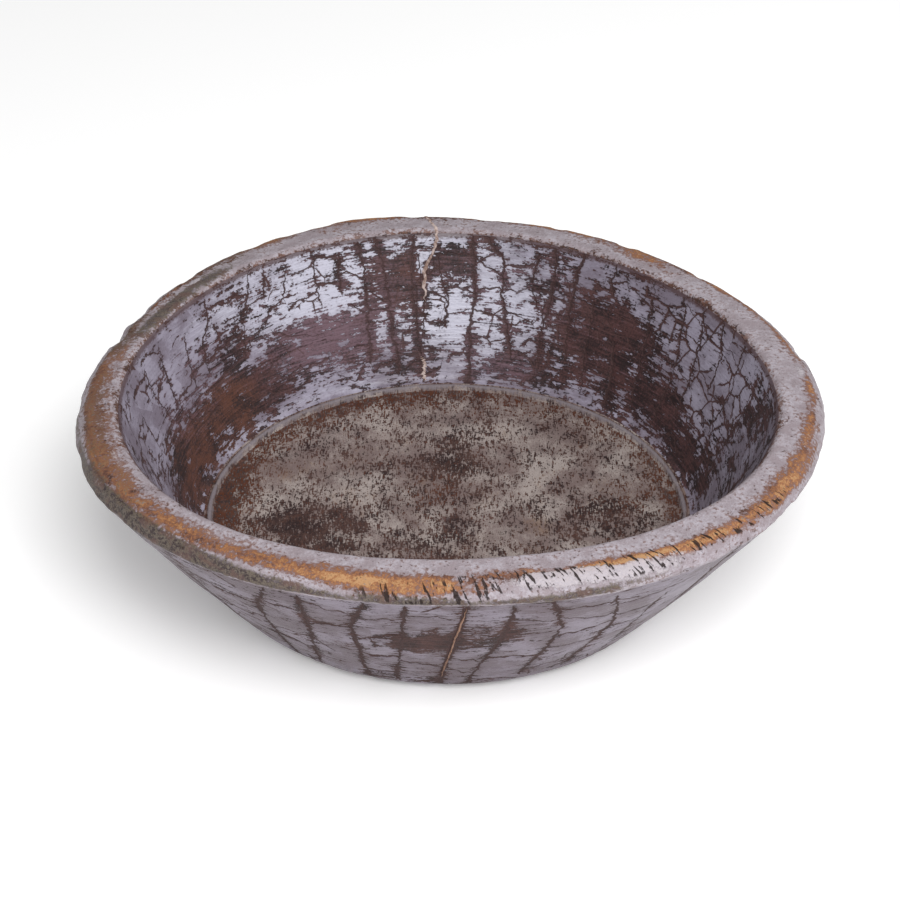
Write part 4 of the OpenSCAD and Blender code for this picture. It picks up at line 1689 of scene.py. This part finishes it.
@dataclass
class Studio:
    """Pale floor, soft light from the right and behind, and the camera."""

    shape: BowlShape
    elevation: float = math.radians(31.4)
    distance: float = 1.618
    focal: float = 119.8
    floor_size: float = 6.0
    key_power: float = 48.0
    side_power: float = 14.0
    sky: float = 0.36
    floor_glow: float = 0.2
    sensor: float = 36.0
    shift: tuple[float, float] = (0.0034, -0.0737)
    aim_drop: float = 1 * MM

    def floor(self) -> None:
        """The sheet that the bowl stands on."""
        bm = bmesh.new()
        bmesh.ops.create_grid(bm, x_segments=1, y_segments=1, size=self.floor_size)
        _, shader, made = start_material("studio_sheet")
        shader.inputs["Base Color"].default_value = (0.93, 0.93, 0.93, 1.0)
        shader.inputs["Roughness"].default_value = 0.9
        shader.inputs["Emission Color"].default_value = (1.0, 1.0, 1.0, 1.0)
        shader.inputs["Emission Strength"].default_value = self.floor_glow
        show_mesh("studio_floor", bm, [made])

    def lamp(self, name: str, place: tuple[float, float, float], size: float, power: float) -> None:
        """A square soft light that faces the bowl."""
        light = bpy.data.lights.new(name, "AREA")
        light.shape = "SQUARE"
        light.size = size
        light.energy = power
        lamp = bpy.data.objects.new(name, light)
        lamp.location = place
        lamp.rotation_euler = (
            Vector((0, 0, self.shape.height / 2)) - lamp.location
        ).to_track_quat("-Z", "Y").to_euler()
        bpy.context.collection.objects.link(lamp)

    def lights(self) -> None:
        """The sky and the soft lights."""
        world = bpy.data.worlds.new("studio_sky")
        world.use_nodes = True
        backdrop = world.node_tree.nodes["Background"]
        backdrop.inputs["Color"].default_value = (1.0, 1.0, 1.0, 1.0)
        backdrop.inputs["Strength"].default_value = self.sky
        bpy.context.scene.world = world
        self.lamp("soft_key", (0.25, -1.5, 1.75), 1.1, self.key_power)
        self.lamp("soft_side", (1.9, 0.3, 1.5), 1.2, self.side_power)
        bpy.context.scene.view_settings.view_transform = "Standard"

    def camera(self) -> None:
        """The camera, above the front of the bowl."""
        aim = Vector((0, 0, self.shape.height - self.aim_drop))
        back = Vector((0, -math.cos(self.elevation), math.sin(self.elevation)))
        lens = bpy.data.cameras.new("front_camera")
        lens.lens = self.focal
        lens.sensor_width = self.sensor
        lens.shift_x, lens.shift_y = self.shift
        camera = bpy.data.objects.new("front_camera", lens)
        camera.location = aim + back * self.distance
        camera.rotation_euler = (-back).to_track_quat("-Z", "Y").to_euler()
        bpy.context.collection.objects.link(camera)
        bpy.context.scene.camera = camera


def main() -> None:
    """Builds the studio and the pieces, and reports each piece."""
    logging.basicConfig(level=logging.INFO)
    shape = BowlShape()
    studio = Studio(shape)
    studio.camera()
    studio.lights()
    studio.floor()
    groups = WoodGroups()

    body = BowlBody(shape).build(groups)
    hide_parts("bowl_body")

    rim_filler = CrackFiller(
        "rim_crack_filler_ragged", shape, BACK_CRACK, ((-0.24, 0.44), (0.8, 0.97)),
        start_run="run_mouth", end_run="run_floor", width=2.7 * MM, seed=2.3,
    ).build(FillerFinish("pale_filler", rgb(190, 172, 166), rgb(138, 112, 102)), groups)
    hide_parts("rim_crack_filler")

    wall_filler = CrackFiller(
        "wall_crack_filler_ragged", shape, FRONT_CRACK, ((0.04, 0.82),),
        start_run="run_band", end_run="run_foot", width=1.2 * MM, seed=7.9,
    ).build(FillerFinish("tan_filler", rgb(150, 114, 94), rgb(98, 70, 58)), groups)
    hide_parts("wall_crack_filler")

    for piece in (body, rim_filler, wall_filler):
        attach(piece, "root")
        LOG.info("%s: %d points, %d faces", piece.name, len(piece.data.vertices), len(piece.data.polygons))


if __name__ == "__main__":
    main()
